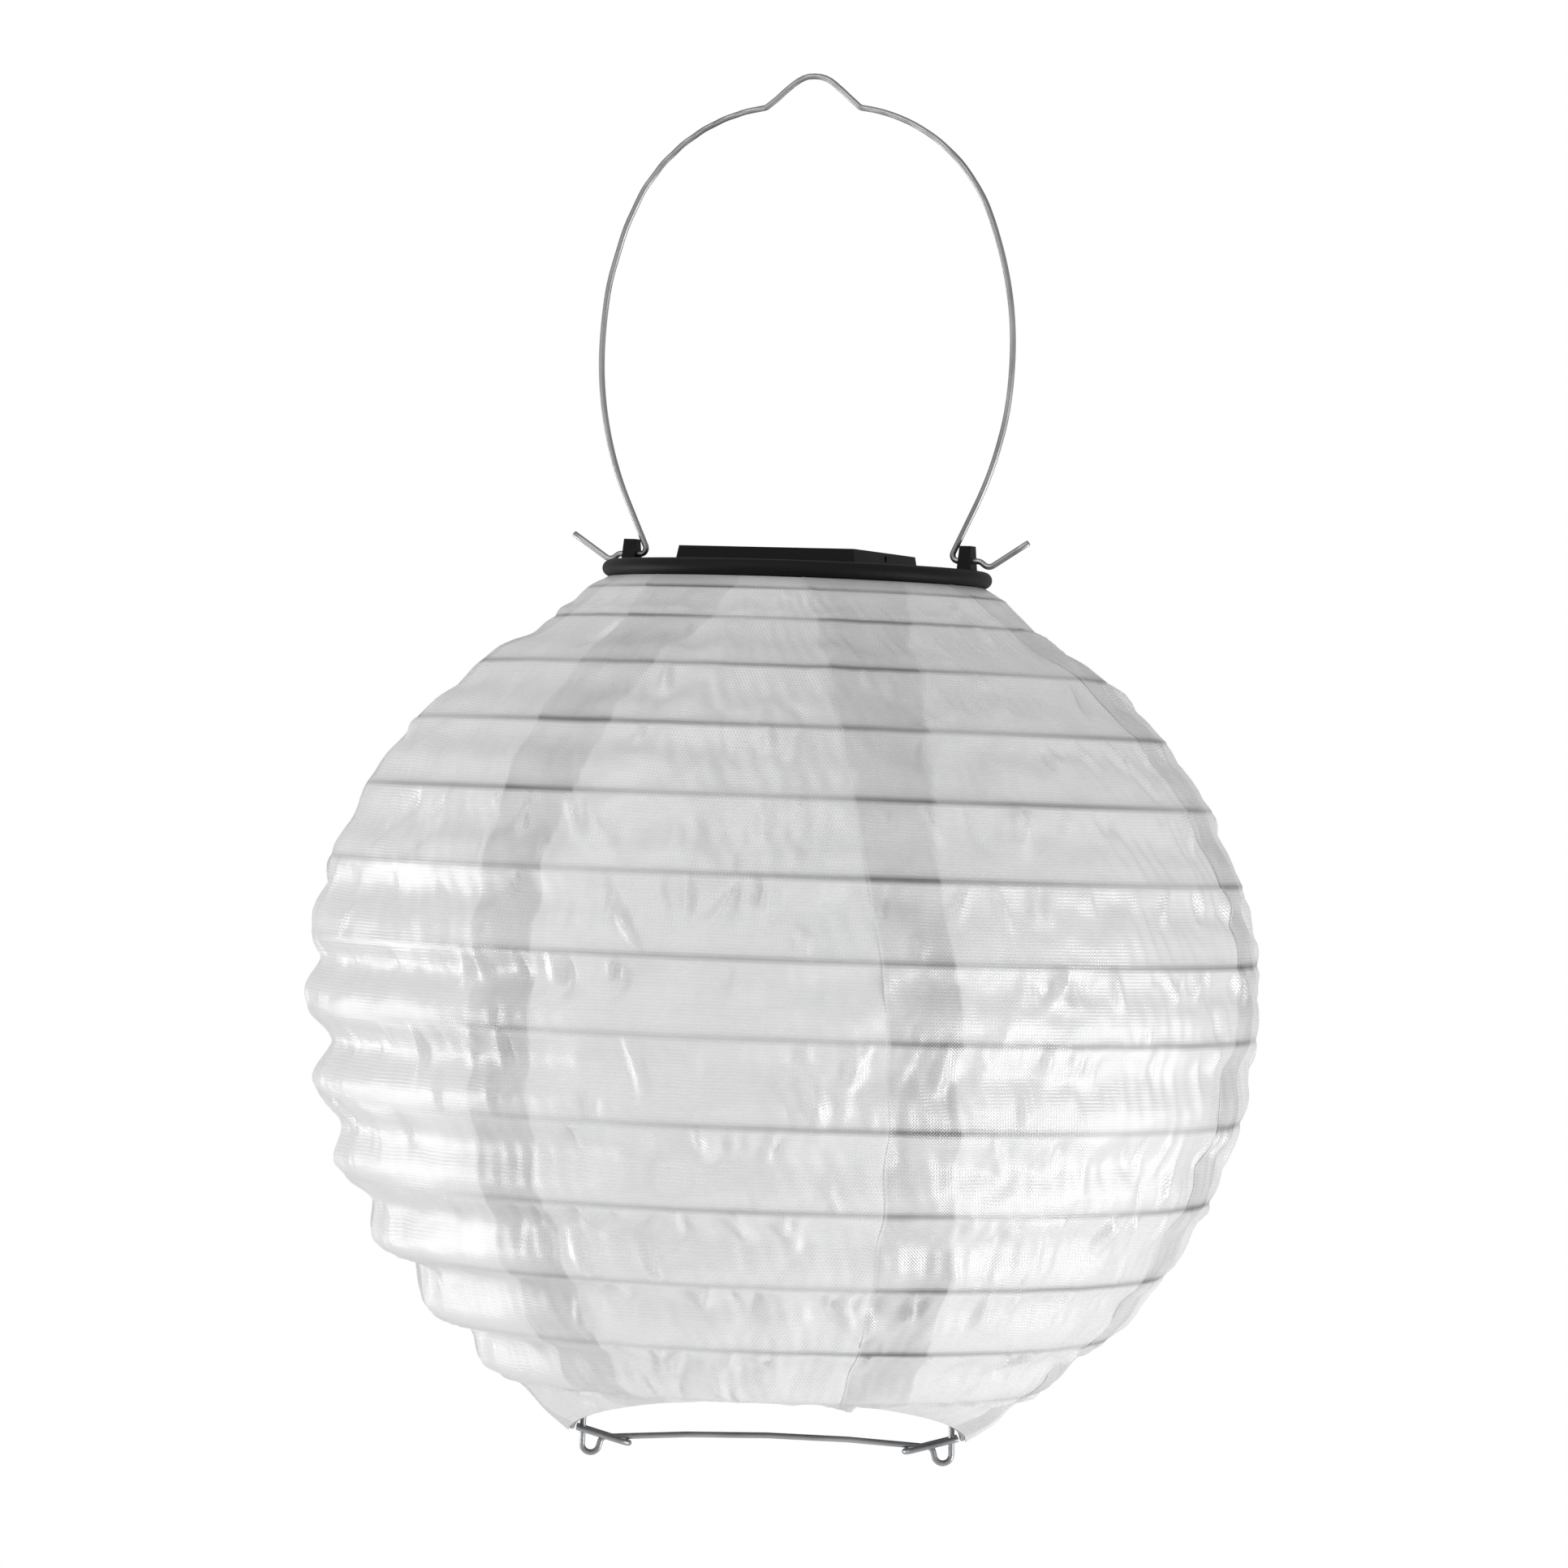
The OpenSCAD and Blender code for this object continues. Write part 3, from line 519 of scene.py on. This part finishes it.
# radius and height of the clamped edge, then of each rib
RINGS = [(51.2, 110.4), (56.8, 107.1)]
for i in range(2, 8):
    a = math.radians(UPPER_FIRST + UPPER_STEP * (7 - i))
    RINGS.append((SHADE_R * math.cos(a), UPPER_H * math.sin(a)))
for i in range(8, 14):
    a = math.radians(LOWER_FIRST + LOWER_STEP * (i - 8))
    RINGS.append((SHADE_R * math.cos(a), -SHADE_R * math.sin(a)))
RINGS = np.array(RINGS)
BANDS = 14
BAND_L = 22.4           # cloth from one rib to the next
GORES = 7
SEAM0 = math.radians(-60)


def hem_spot(turn):
    """Radius and height of the fabric's lower edge in a direction, just round the hem wire."""
    out, under = 0.25, 0.6
    a = turn - FRAME_TURN
    psi = np.arctan2(np.sin(a) / math.cos(HEM_RISE), np.cos(a))
    rad = HEM_R * np.sqrt(np.cos(psi) ** 2 + (np.sin(psi) * math.cos(HEM_RISE)) ** 2)
    return rad + WIRE_R + out, -HEM_DROP + HEM_R * np.abs(np.sin(psi)) * math.sin(HEM_RISE) - WIRE_R - under


def spine(turn, v):
    """Radius and height on the taut shade; v counts bands from the clamped edge, 0 to 14."""
    i = np.clip(np.floor(v).astype(int), 0, BANDS - 1)
    f = v - i
    rr = np.concatenate([RINGS[:, 0], [0]])
    zz = np.concatenate([RINGS[:, 1], [0]])
    hr, hz = hem_spot(turn)
    r0, z0 = rr[i], zz[i]
    r1 = np.where(i + 1 == BANDS, hr, rr[i + 1])
    z1 = np.where(i + 1 == BANDS, hz, zz[i + 1])
    return r0 + (r1 - r0) * f, z0 + (z1 - z0) * f


def outward(turn, v):
    """Smooth outward direction (radius, height) of the shade."""
    reach = 0.55    # bands looked at to either side
    a = spine(turn, np.clip(v - reach, 0, BANDS))
    b = spine(turn, np.clip(v + reach, 0, BANDS))
    dr, dz = b[0] - a[0], b[1] - a[1]
    n = np.hypot(dr, dz)
    return -dz / n, dr / n


rng = np.random.default_rng(41)
# directions on the shade itself: its front seam, its slack left side and its two busiest patches
FRONT_AT = math.radians(-69.8)
LEFT = FRONT_AT - math.pi / 2
BUSY = FRONT_AT + math.radians(42)
BUSY_TOO = FRONT_AT - math.radians(24)


def how_busy(turn, band):
    """Chance that a pucker lies here: more at the busy patches and low down, and in runs."""
    toward = max(0.0, math.cos(turn - BUSY)) ** 2 + 0.55 * max(0.0, math.cos(turn - BUSY_TOO)) ** 6
    busy = (0.2 + 0.8 * min(1.0, toward)) * (0.15 + 0.85 * min(1, (band / 5.5) ** 2))
    return busy * (0.25 + 0.75 * (math.sin(5 * turn + 2.3 * band) > -0.15))


# puckers: short tents that start at a rib and lean one way or the other
PUCKER_SPACING = 3.0
PUCKERS = []
for band in range(1, BANDS):
    for k in range(int(2 * math.pi * RINGS[band][0] / PUCKER_SPACING)):
        turn = rng.uniform(-math.pi, math.pi)
        if rng.uniform() > how_busy(turn, band):
            continue
        size = rng.uniform(0.6, 1.4)
        width = 1.15 * size
        reach = min(0.75, 0.36 * size * rng.uniform(0.8, 1.5))
        lean = rng.normal(0, 0.32)
        below = rng.uniform() < 0.8
        height = 0.95 * size * rng.uniform(0.5, 1.3) * (1 if rng.uniform() < 0.62 else -0.75)
        PUCKERS.append((band, turn, width, reach, lean, below, height))


def waves(count, around, lean, height):
    """Random waves: how many go round the shade, their phase, lean and height in millimetres."""
    return [(rng.integers(*around), rng.uniform(0, 6.28), rng.uniform(-lean, lean), rng.uniform(*height))
            for _ in range(count)]


WAVES = waves(9, (9, 34), 1.5, (0.06, 0.18))
RIPPLES = waves(8, (60, 150), 5, (0.03, 0.10))
BAND_DIP = rng.uniform(0.65, 1.25, BANDS)
BAND_PHASE = rng.uniform(-0.9, 0.9, BANDS)


def band_profile(turn, v):
    """The bands' cross-section: low bands are slack and fall in under each rib, most at the left."""
    i = np.clip(np.floor(v).astype(int), 0, BANDS - 1)
    f = v - i
    left = 0.5 + 0.5 * np.cos(turn - LEFT)
    low = smooth(v, 5.0, 7.5) * (1 - 0.7 * smooth(v, 12.0, 13.5))
    drift = 0.8 + 0.35 * np.sin(2 * turn + 1.7 * i) + 0.2 * np.sin(5 * turn - i)
    dip = (0.35 + 2.5 * left ** 3) * low * BAND_DIP[i] * drift
    fall = np.sin(np.pi * np.clip(f / 0.84, 0, 1)) ** 1.25
    sway = (0.35 + 0.8 * left ** 2) * np.sin(2 * np.pi * f + BAND_PHASE[i]) * np.sin(np.pi * f)
    return (-dip * fall - sway * (0.35 + 0.65 * low)) * smooth(v, 0.8, 2.0)


def wrinkle(turn, v):
    """Height of the cloth over its taut line, in millimetres; zero at every rib."""
    i = np.clip(np.floor(v).astype(int), 0, BANDS - 1)
    f = v - i
    out = np.zeros_like(turn)
    for n, phase, lean, amp in WAVES:
        out += amp * np.sin(n * turn + phase + lean * v + 1.7 * np.sin(3 * turn + v * 1.3 + phase))
    for n, phase, lean, amp in RIPPLES:
        gate = 0.5 + 0.5 * np.sin(2 * turn + 0.9 * v + 2 * phase)
        out += amp * gate ** 2 * np.sin(n * turn + phase + lean * f * 2 + 2.2 * np.sin(5 * turn + v))
    out *= np.sin(np.pi * np.clip(f, 0, 1)) ** 0.75
    out += band_profile(turn, v)
    rad = np.where(i < 1, 52.0, RINGS[i, 0])
    widest = 26    # half width of the patch that one pucker is worked out on
    for band, t0, w, reach, lean, below, amp in PUCKERS:
        d = (turn - t0 + math.pi) % (2 * math.pi) - math.pi
        near = (i == band) & (np.abs(d) * rad < widest)
        if not near.any():
            continue
        y = f[near] if below else 1 - f[near]
        x = d[near] * rad[near] - lean * y * 20
        width = w * (0.5 + 0.9 * y / reach)
        body = np.sin(np.pi * np.clip(y / reach, 0, 1)) ** 0.8
        out[near] += amp * body * np.exp(-(x / width) ** 2)
    # calm at the clamped edge and along the hem wire
    lower = smooth(v, 0.5, 2.5)
    last = 1 - 0.85 * smooth(v, 13.1, 14.0)
    return out * lower * last


def simulated_slack():
    """Cloth simulation of the whole shade, held at every rib: how far it stands off its taut
    line, in millimetres, on a grid of rows (down) and columns (round)."""
    per_band, count, frames, most = 8, 420, 14, 2.2
    vv = np.linspace(0, BANDS, BANDS * per_band + 1)
    turn, v = np.meshgrid(np.linspace(-math.pi, math.pi, count, endpoint=False), vv)
    r, z = spine(turn, v)
    nr, nz = outward(turn, v)
    seed = 0.4 * wrinkle(turn.ravel(), v.ravel()).reshape(turn.shape)
    rs, zs = r + nr * seed, z + nz * seed
    pts = np.stack([rs * np.cos(turn), rs * np.sin(turn), zs], -1).reshape(-1, 3) * MM
    ob = new_mesh("slack_study", pts, grid_faces(len(vv), count, closed=True))
    # held at each rib, and over the first rows under the cap
    ribs = ob.vertex_groups.new(name="ribs")
    for a in list(range(0, len(vv), per_band)) + [1, 2, 3]:
        ribs.add(list(range(a * count, (a + 1) * count)), 1.0, "REPLACE")
    # some patches are cut looser than others
    tight = ob.vertex_groups.new(name="tight")
    share = 0.5 + 0.3 * np.sin(3 * turn + 0.8 * v) + 0.25 * np.sin(7 * turn - 1.1 * v + 1)
    levels = np.clip(np.round(share * 10), 0, 10).astype(int).ravel()
    for level in range(11):
        tight.add([int(q) for q in np.nonzero(levels == level)[0]], level / 10, "REPLACE")
    mod = ob.modifiers.new("cloth", "CLOTH")
    mod.settings.quality = 5
    mod.settings.mass = 0.02
    mod.settings.tension_stiffness = 20
    mod.settings.compression_stiffness = 20
    mod.settings.shear_stiffness = 4
    mod.settings.bending_stiffness = 0.01
    mod.settings.air_damping = 4
    mod.settings.vertex_group_mass = "ribs"
    mod.settings.vertex_group_shrink = "tight"
    mod.settings.shrink_min = -0.011
    mod.settings.shrink_max = 0.0
    mod.settings.effector_weights.gravity = 0.05
    mod.collision_settings.use_collision = False
    mod.point_cache.frame_start = 1
    mod.point_cache.frame_end = frames + 2
    for f in range(1, frames + 1):
        bpy.context.scene.frame_set(f)
    done = ob.evaluated_get(bpy.context.evaluated_depsgraph_get()).to_mesh()
    co = np.zeros(len(pts) * 3, np.float32)
    done.vertices.foreach_get("co", co)
    co = co.reshape(len(vv), count, 3) / MM
    ob.evaluated_get(bpy.context.evaluated_depsgraph_get()).to_mesh_clear()
    bpy.context.scene.frame_set(1)
    bpy.data.objects.remove(ob)
    off = (np.hypot(co[..., 0], co[..., 1]) - r) * nr + (co[..., 2] - z) * nz
    return np.clip(np.nan_to_num(off), -most, most)


SLACK = simulated_slack()


def swell(turn, v):
    """The simulated cloth's height at any place, read off its grid."""
    rows_n, cols_n = SLACK.shape
    y = np.clip(v / BANDS * (rows_n - 1), 0, rows_n - 1.001)
    x = (turn + math.pi) / (2 * math.pi) * cols_n
    y0, x0 = np.floor(y).astype(int), np.floor(x).astype(int)
    fy, fx = y - y0, x - x0
    a, b = x0 % cols_n, (x0 + 1) % cols_n
    top = SLACK[y0, a] * (1 - fx) + SLACK[y0, b] * fx
    low = SLACK[y0 + 1, a] * (1 - fx) + SLACK[y0 + 1, b] * fx
    return top * (1 - fy) + low * fy


# how far three of the seams lean from an even spacing, in degrees, at these bands from the cap
LEAN_AT = (0, 2.5, 7, 13.5)
SEAM_LEAN = {0: (-8.8, -5.0, 1.2, 6.2), 6: (-4.5, -1.2, 2.6, -0.6), 1: (-9.0, 2.5, 8.0, 5.0)}


def seam(k, v):
    """Direction of the visible left edge of gore k, which wanders a little from rib to rib."""
    k = k % GORES
    base = SEAM0 + 2 * math.pi / GORES * k
    i = np.floor(v)
    f = v - i
    lean = SEAM_LEAN.get(k, (-3 * math.sin(2.1 * k), 0.0, 2 * math.sin(3.3 * k), -1.5 * math.cos(k)))
    drift = np.radians(np.interp(v, LEAN_AT, lean))
    sway = math.radians(0.5) * np.sin(0.8 * v + 1.9 * k + 0.4)
    # the edge jumps a little from rib to rib and bows between them
    jumps = np.array([math.sin(12.9 * j + 4.1 * k) for j in range(BANDS + 2)])
    a = jumps[np.clip(i.astype(int), 0, BANDS)]
    b = jumps[np.clip(i.astype(int) + 1, 0, BANDS + 1)]
    r, _ = spine(np.zeros_like(v), np.clip(v, 0, BANDS - 1))
    loose = 1.7 if k == 6 else 0.8
    zig = (a + (b - a) * f) * 0.8 * loose / r
    bow = -np.sin(np.pi * f) * (0.5 + 0.5 * np.sin(7.1 * i + k)) * loose / r
    return base + drift + sway + zig + bow


def lap_width(v, k):
    """Width of a glued lap in millimetres: wide near the cap, about 20 at the widest hoop."""
    return 27.5 - 8.0 * smooth(v, 0.5, 7) + 0.9 * np.sin(1.9 * v + 2 * k) + 0.5 * np.sin(4.3 * v + k)


ROWS_TOP, ROWS_A_BAND, COLUMNS = 4, 15, 136
HEM_BAND_R = 66         # mean radius of the lowest band
WIDEST_LAP = math.radians(32)
rows = np.concatenate([
    np.linspace(0, 1, ROWS_TOP + 1)[:-1], np.linspace(1, BANDS, (BANDS - 1) * ROWS_A_BAND + 1)])
across = np.linspace(0, 1, COLUMNS)


def length_down(v):
    """Arc length down the shade, for the cloth's own coordinates."""
    r, z = spine(np.full_like(v, 0.7), v)
    return np.concatenate([[0], np.cumsum(np.hypot(np.diff(r), np.diff(z)))])


def cloth_stand(k, turn, v, over, under, to_rib):
    """How far the cloth of gore k stands off the shade's outer line, in millimetres."""
    lift = wrinkle(turn, v) + swell(turn, v)
    # where the cloth falls in, it still lies over the wire
    lift = np.where(lift < 0, lift * smooth(to_rib, 0.3, 2.4), lift)
    # the free left edge of the upper layer stands a hair proud here and there
    curl = 0.12 + 0.16 * (0.5 + 0.5 * np.sin(2.1 * v + k)) * np.exp(-(over / 2.0) ** 2)
    if k == 0:
        # one lifted curl of the front seam
        curl = curl + 1.1 * np.exp(-((v - 7.28) / 0.13) ** 2) * np.exp(-((over - 1.0) / 1.6) ** 2)
    curl = curl * (1 - smooth(v, 12.6, 13.8))
    # the lap dips under the next gore
    dip = smooth(under, -0.4, 1.6)
    base = -0.80 - 0.16 * dip + curl * (1 - dip)
    # the folded edge stands round the outside of the hem wire
    base = base + 0.5 * smooth(v, 13.4, 14.0)
    return base + lift


def cloth_tones(k, turn, v, over, to_rib):
    """The painted shadow of the wire along each rib, and the painted shade over the glued lap's band."""
    rib_shadow = np.exp(-(to_rib / 0.75) ** 2) * 0.9
    # a broader, fainter painted shade on the cloth just above each rib
    rib_shadow = rib_shadow + 0.25 * np.exp(-(to_rib / 2.2) ** 2) * (v < np.round(v) + 1e-6)
    rib_shadow = rib_shadow * smooth(v, 0.4, 0.9) * (1 - smooth(v, 13.4, 13.9))
    rib_shadow *= 0.75 + 0.25 * np.sin(4 * turn + 2 * np.round(v))
    # the painted wire shadow is weaker on the left side, low down, where the cloth hangs slack past the
    # wire
    rib_shadow_fade = (0.5 + 0.5 * np.cos(turn - LEFT)) ** 2 * smooth(v, 4.0, 7.5)
    rib_shadow *= 1 - 0.9 * np.clip(rib_shadow_fade * 1.1, 0, 1)
    # the lowest rib's painted shadow, close above the hem, is faint
    rib_shadow *= 1 - 0.75 * smooth(v, 12.5, 12.9)
    lap = lap_width(rows, k)[:, None]
    lap_shade = smooth(over, 0.0, 0.3) * (1 - smooth(over, lap - 0.3, lap))
    # the painted rib shadow is darker where the lap doubles the cloth
    rib_shadow = rib_shadow * (1 + 0.5 * lap_shade)
    # the lap's painted shade is stronger low down, where more light comes through the single cloth beside
    # it
    return rib_shadow, lap_shade * (0.72 + 0.6 * smooth(v, 3, 8))


DOWN = length_down(rows)
radius, _ = spine(np.zeros_like(rows), np.clip(rows, 0, BANDS - 1))
radius = np.where(rows > BANDS - 1, HEM_BAND_R, radius)
for k in range(GORES):
    # each gore runs from its own seam to the next one, and on under it by the lap
    start = seam(k, rows)
    nxt = seam(k + 1, rows) + (2 * math.pi if k == GORES - 1 else 0)
    end = nxt + np.minimum(lap_width(rows, k + 1) / radius, WIDEST_LAP)
    turn = start[:, None] + (end - start)[:, None] * across[None, :]
    v = rows[:, None] + 0 * across[None, :]
    over = (turn - start[:, None]) * radius[:, None]     # from the gore's own edge
    under = (turn - nxt[:, None]) * radius[:, None]      # past the next gore's edge
    to_rib = np.abs(v - np.round(v)) * BAND_L
    r, z = spine(turn, v)
    nr, nz = outward(turn, v)
    out = cloth_stand(k, turn, v, over, under, to_rib)
    r = r + nr * out
    z = z + nz * out
    pts = np.stack([r * np.cos(turn), r * np.sin(turn), z + SHADE_Z], -1).reshape(-1, 3) * MM
    flat = np.stack([over * MM, (DOWN[:, None] + 0 * turn) * MM], -1).reshape(-1, 2)
    ob = new_mesh(f"shade_gore_{k + 1}", pts, grid_faces(*turn.shape), flat)
    # the painted rib shadow and the lap's painted shade go onto the cloth as its rib and lap attributes
    for label, data in zip(("rib", "lap"), cloth_tones(k, turn, v, over, to_rib)):
        at = ob.data.attributes.new(label, "FLOAT", "POINT")
        at.data.foreach_set("value", np.clip(data, 0, 1.4).astype(np.float32).ravel())
    paint(ob, "nylon")
    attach(ob, "cap")
    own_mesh(ob)
    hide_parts(f"gore_{k + 1}")
    # the gore's width round the shade at each row, in millimetres
    width = (end - start) * radius


# ---------------------------------------------------------------- the ribs inside the cloth

HOOP_R, HOOP_INSET, HOOP_CHORDS = 0.5, 1.5, 160


def hoop_centre(i):
    """Centre line of the hoop behind ring i: radius and height."""
    r0, z0 = RINGS[i - 1] if i > 1 else (50.3, 109.2)
    r1, z1 = RINGS[i + 1] if i < 13 else (HEM_R + WIRE_R + 0.4, -HEM_DROP - WIRE_R - 0.7)
    dr, dz = r1 - r0, z1 - z0
    n = math.hypot(dr, dz)
    return RINGS[i][0] + dz / n * HOOP_INSET, RINGS[i][1] - dr / n * HOOP_INSET


for k in range(13):
    r, z = hoop_centre(k + 1)
    ring = [(r * math.cos(a), r * math.sin(a), z + SHADE_Z)
            for a in np.linspace(0, 2 * math.pi, HOOP_CHORDS, endpoint=False)]
    hoop = tube(f"rib_{k}", ring, HOOP_R, 8, closed=True)
    paint(hoop, "hoop_wire")
    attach(hoop, "cap" if k == 0 else f"hoop_{k}_body")
    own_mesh(hoop)
    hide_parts(f"hoop_{k}")


# ---------------------------------------------------------------- stage, light and camera

STAGE_R, FLOOR_DROP = 2.2, 0.9
floor_z = cad_box[0][2] - FLOOR_DROP
stage = new_mesh(
    "floor",
    [(STAGE_R * math.cos(a), STAGE_R * math.sin(a), floor_z)
     for a in np.linspace(0, 2 * math.pi, 96, endpoint=False)],
    [tuple(range(96))], shade_smooth=False)
m, _, b = material("pale_floor")
b.inputs["Base Color"].default_value = (0.8, 0.8, 0.8, 1)
b.inputs["Roughness"].default_value = 0.9
b.inputs["Emission Color"].default_value = (1, 1, 1, 1)
b.inputs["Emission Strength"].default_value = 0.35
stage.data.materials.append(m)

# a plain white backdrop, lit by a dome that is a little dimmer overhead
world = bpy.data.worlds.new("studio")
bpy.context.scene.world = world
world.use_nodes = True
t = world.node_tree
co = t.nodes.new("ShaderNodeTexCoord")
sep = t.nodes.new("ShaderNodeSeparateXYZ")
t.links.new(co.outputs["Generated"], sep.inputs["Vector"])
ramp = t.nodes.new("ShaderNodeValToRGB")
below, above = ramp.color_ramp.elements
below.position, below.color = 0.0, (1.0, 1.0, 1.0, 1)
above.position, above.color = 1.0, (0.72, 0.72, 0.72, 1)
t.links.new(math_node(t, "MULTIPLY_ADD", sep.outputs["Z"], 0.5, 0.5), ramp.inputs["Fac"])
dome = node(t, "ShaderNodeBackground", Strength=0.80)
t.links.new(ramp.outputs["Color"], dome.inputs["Color"])
backdrop = t.nodes["Background"]
backdrop.inputs["Color"].default_value = (1, 1, 1, 1)
backdrop.inputs["Strength"].default_value = 1.0
seen = t.nodes.new("ShaderNodeLightPath")
mix = t.nodes.new("ShaderNodeMixShader")
t.links.new(seen.outputs["Is Camera Ray"], mix.inputs[0])
t.links.new(dome.outputs[0], mix.inputs[1])
t.links.new(backdrop.outputs[0], mix.inputs[2])
t.links.new(mix.outputs[0], t.nodes["World Output"].inputs["Surface"])
bpy.context.scene.view_settings.view_transform = "Standard"

middle = Vector((0, 0, (SHADE_Z + 20) * MM))


def softbox(name, azimuth, elevation, distance, size, power):
    """A soft rectangular light that faces the shade; azimuth is from -Y towards +X."""
    a, e = math.radians(azimuth), math.radians(elevation)
    lamp = bpy.data.lights.new(name, "AREA")
    lamp.shape = "RECTANGLE"
    lamp.size, lamp.size_y = size
    lamp.energy = power
    ob = bpy.data.objects.new(name, lamp)
    d = Vector((math.sin(a) * math.cos(e), -math.cos(a) * math.cos(e), math.sin(e)))
    ob.location = middle + d * distance
    ob.rotation_euler = d.to_track_quat("Z", "Y").to_euler()
    bpy.context.scene.collection.objects.link(ob)


# azimuth and elevation in degrees, distance and size in metres, power in watts
softbox("key", 94, -24, 1.2, (0.40, 0.22), 9)
softbox("front", 68, -8, 1.7, (0.16, 0.16), 3)
softbox("left", -84, -14, 1.4, (0.3, 0.5), 9.5)
softbox("seam_glint", -34, -12, 1.7, (0.16, 0.3), 4)
softbox("fill", -12, 38, 1.9, (1.2, 1.2), 14)

# the camera looks level, rolled a little, and sees VIEW_WIDTH metres across at the lantern
AZ, ROLL = math.radians(20.2), math.radians(2.0)
CAM_DISTANCE, VIEW_WIDTH, SENSOR = 1.75, 0.422295, 36
AIM_H, AIM_LEFT = 55.6, 1.6    # the aim over the shade's centre and left of it, in millimetres
cam_data = bpy.data.cameras.new("camera")
cam = bpy.data.objects.new("camera", cam_data)
bpy.context.scene.collection.objects.link(cam)
cam_data.sensor_width = SENSOR
cam_data.lens = SENSOR * CAM_DISTANCE / VIEW_WIDTH
toward = Vector((math.sin(AZ), -math.cos(AZ), 0))
rightward = Vector((math.cos(AZ), math.sin(AZ), 0))
aim = Vector((0, 0, (SHADE_Z + AIM_H) * MM)) - rightward * AIM_LEFT * MM
facing = toward.to_track_quat("Z", "Y").to_matrix().to_4x4()
roll = Matrix.Rotation(ROLL, 4, "Z")
cam.matrix_world = Matrix.Translation(aim + toward * CAM_DISTANCE) @ facing @ roll
bpy.context.scene.camera = cam
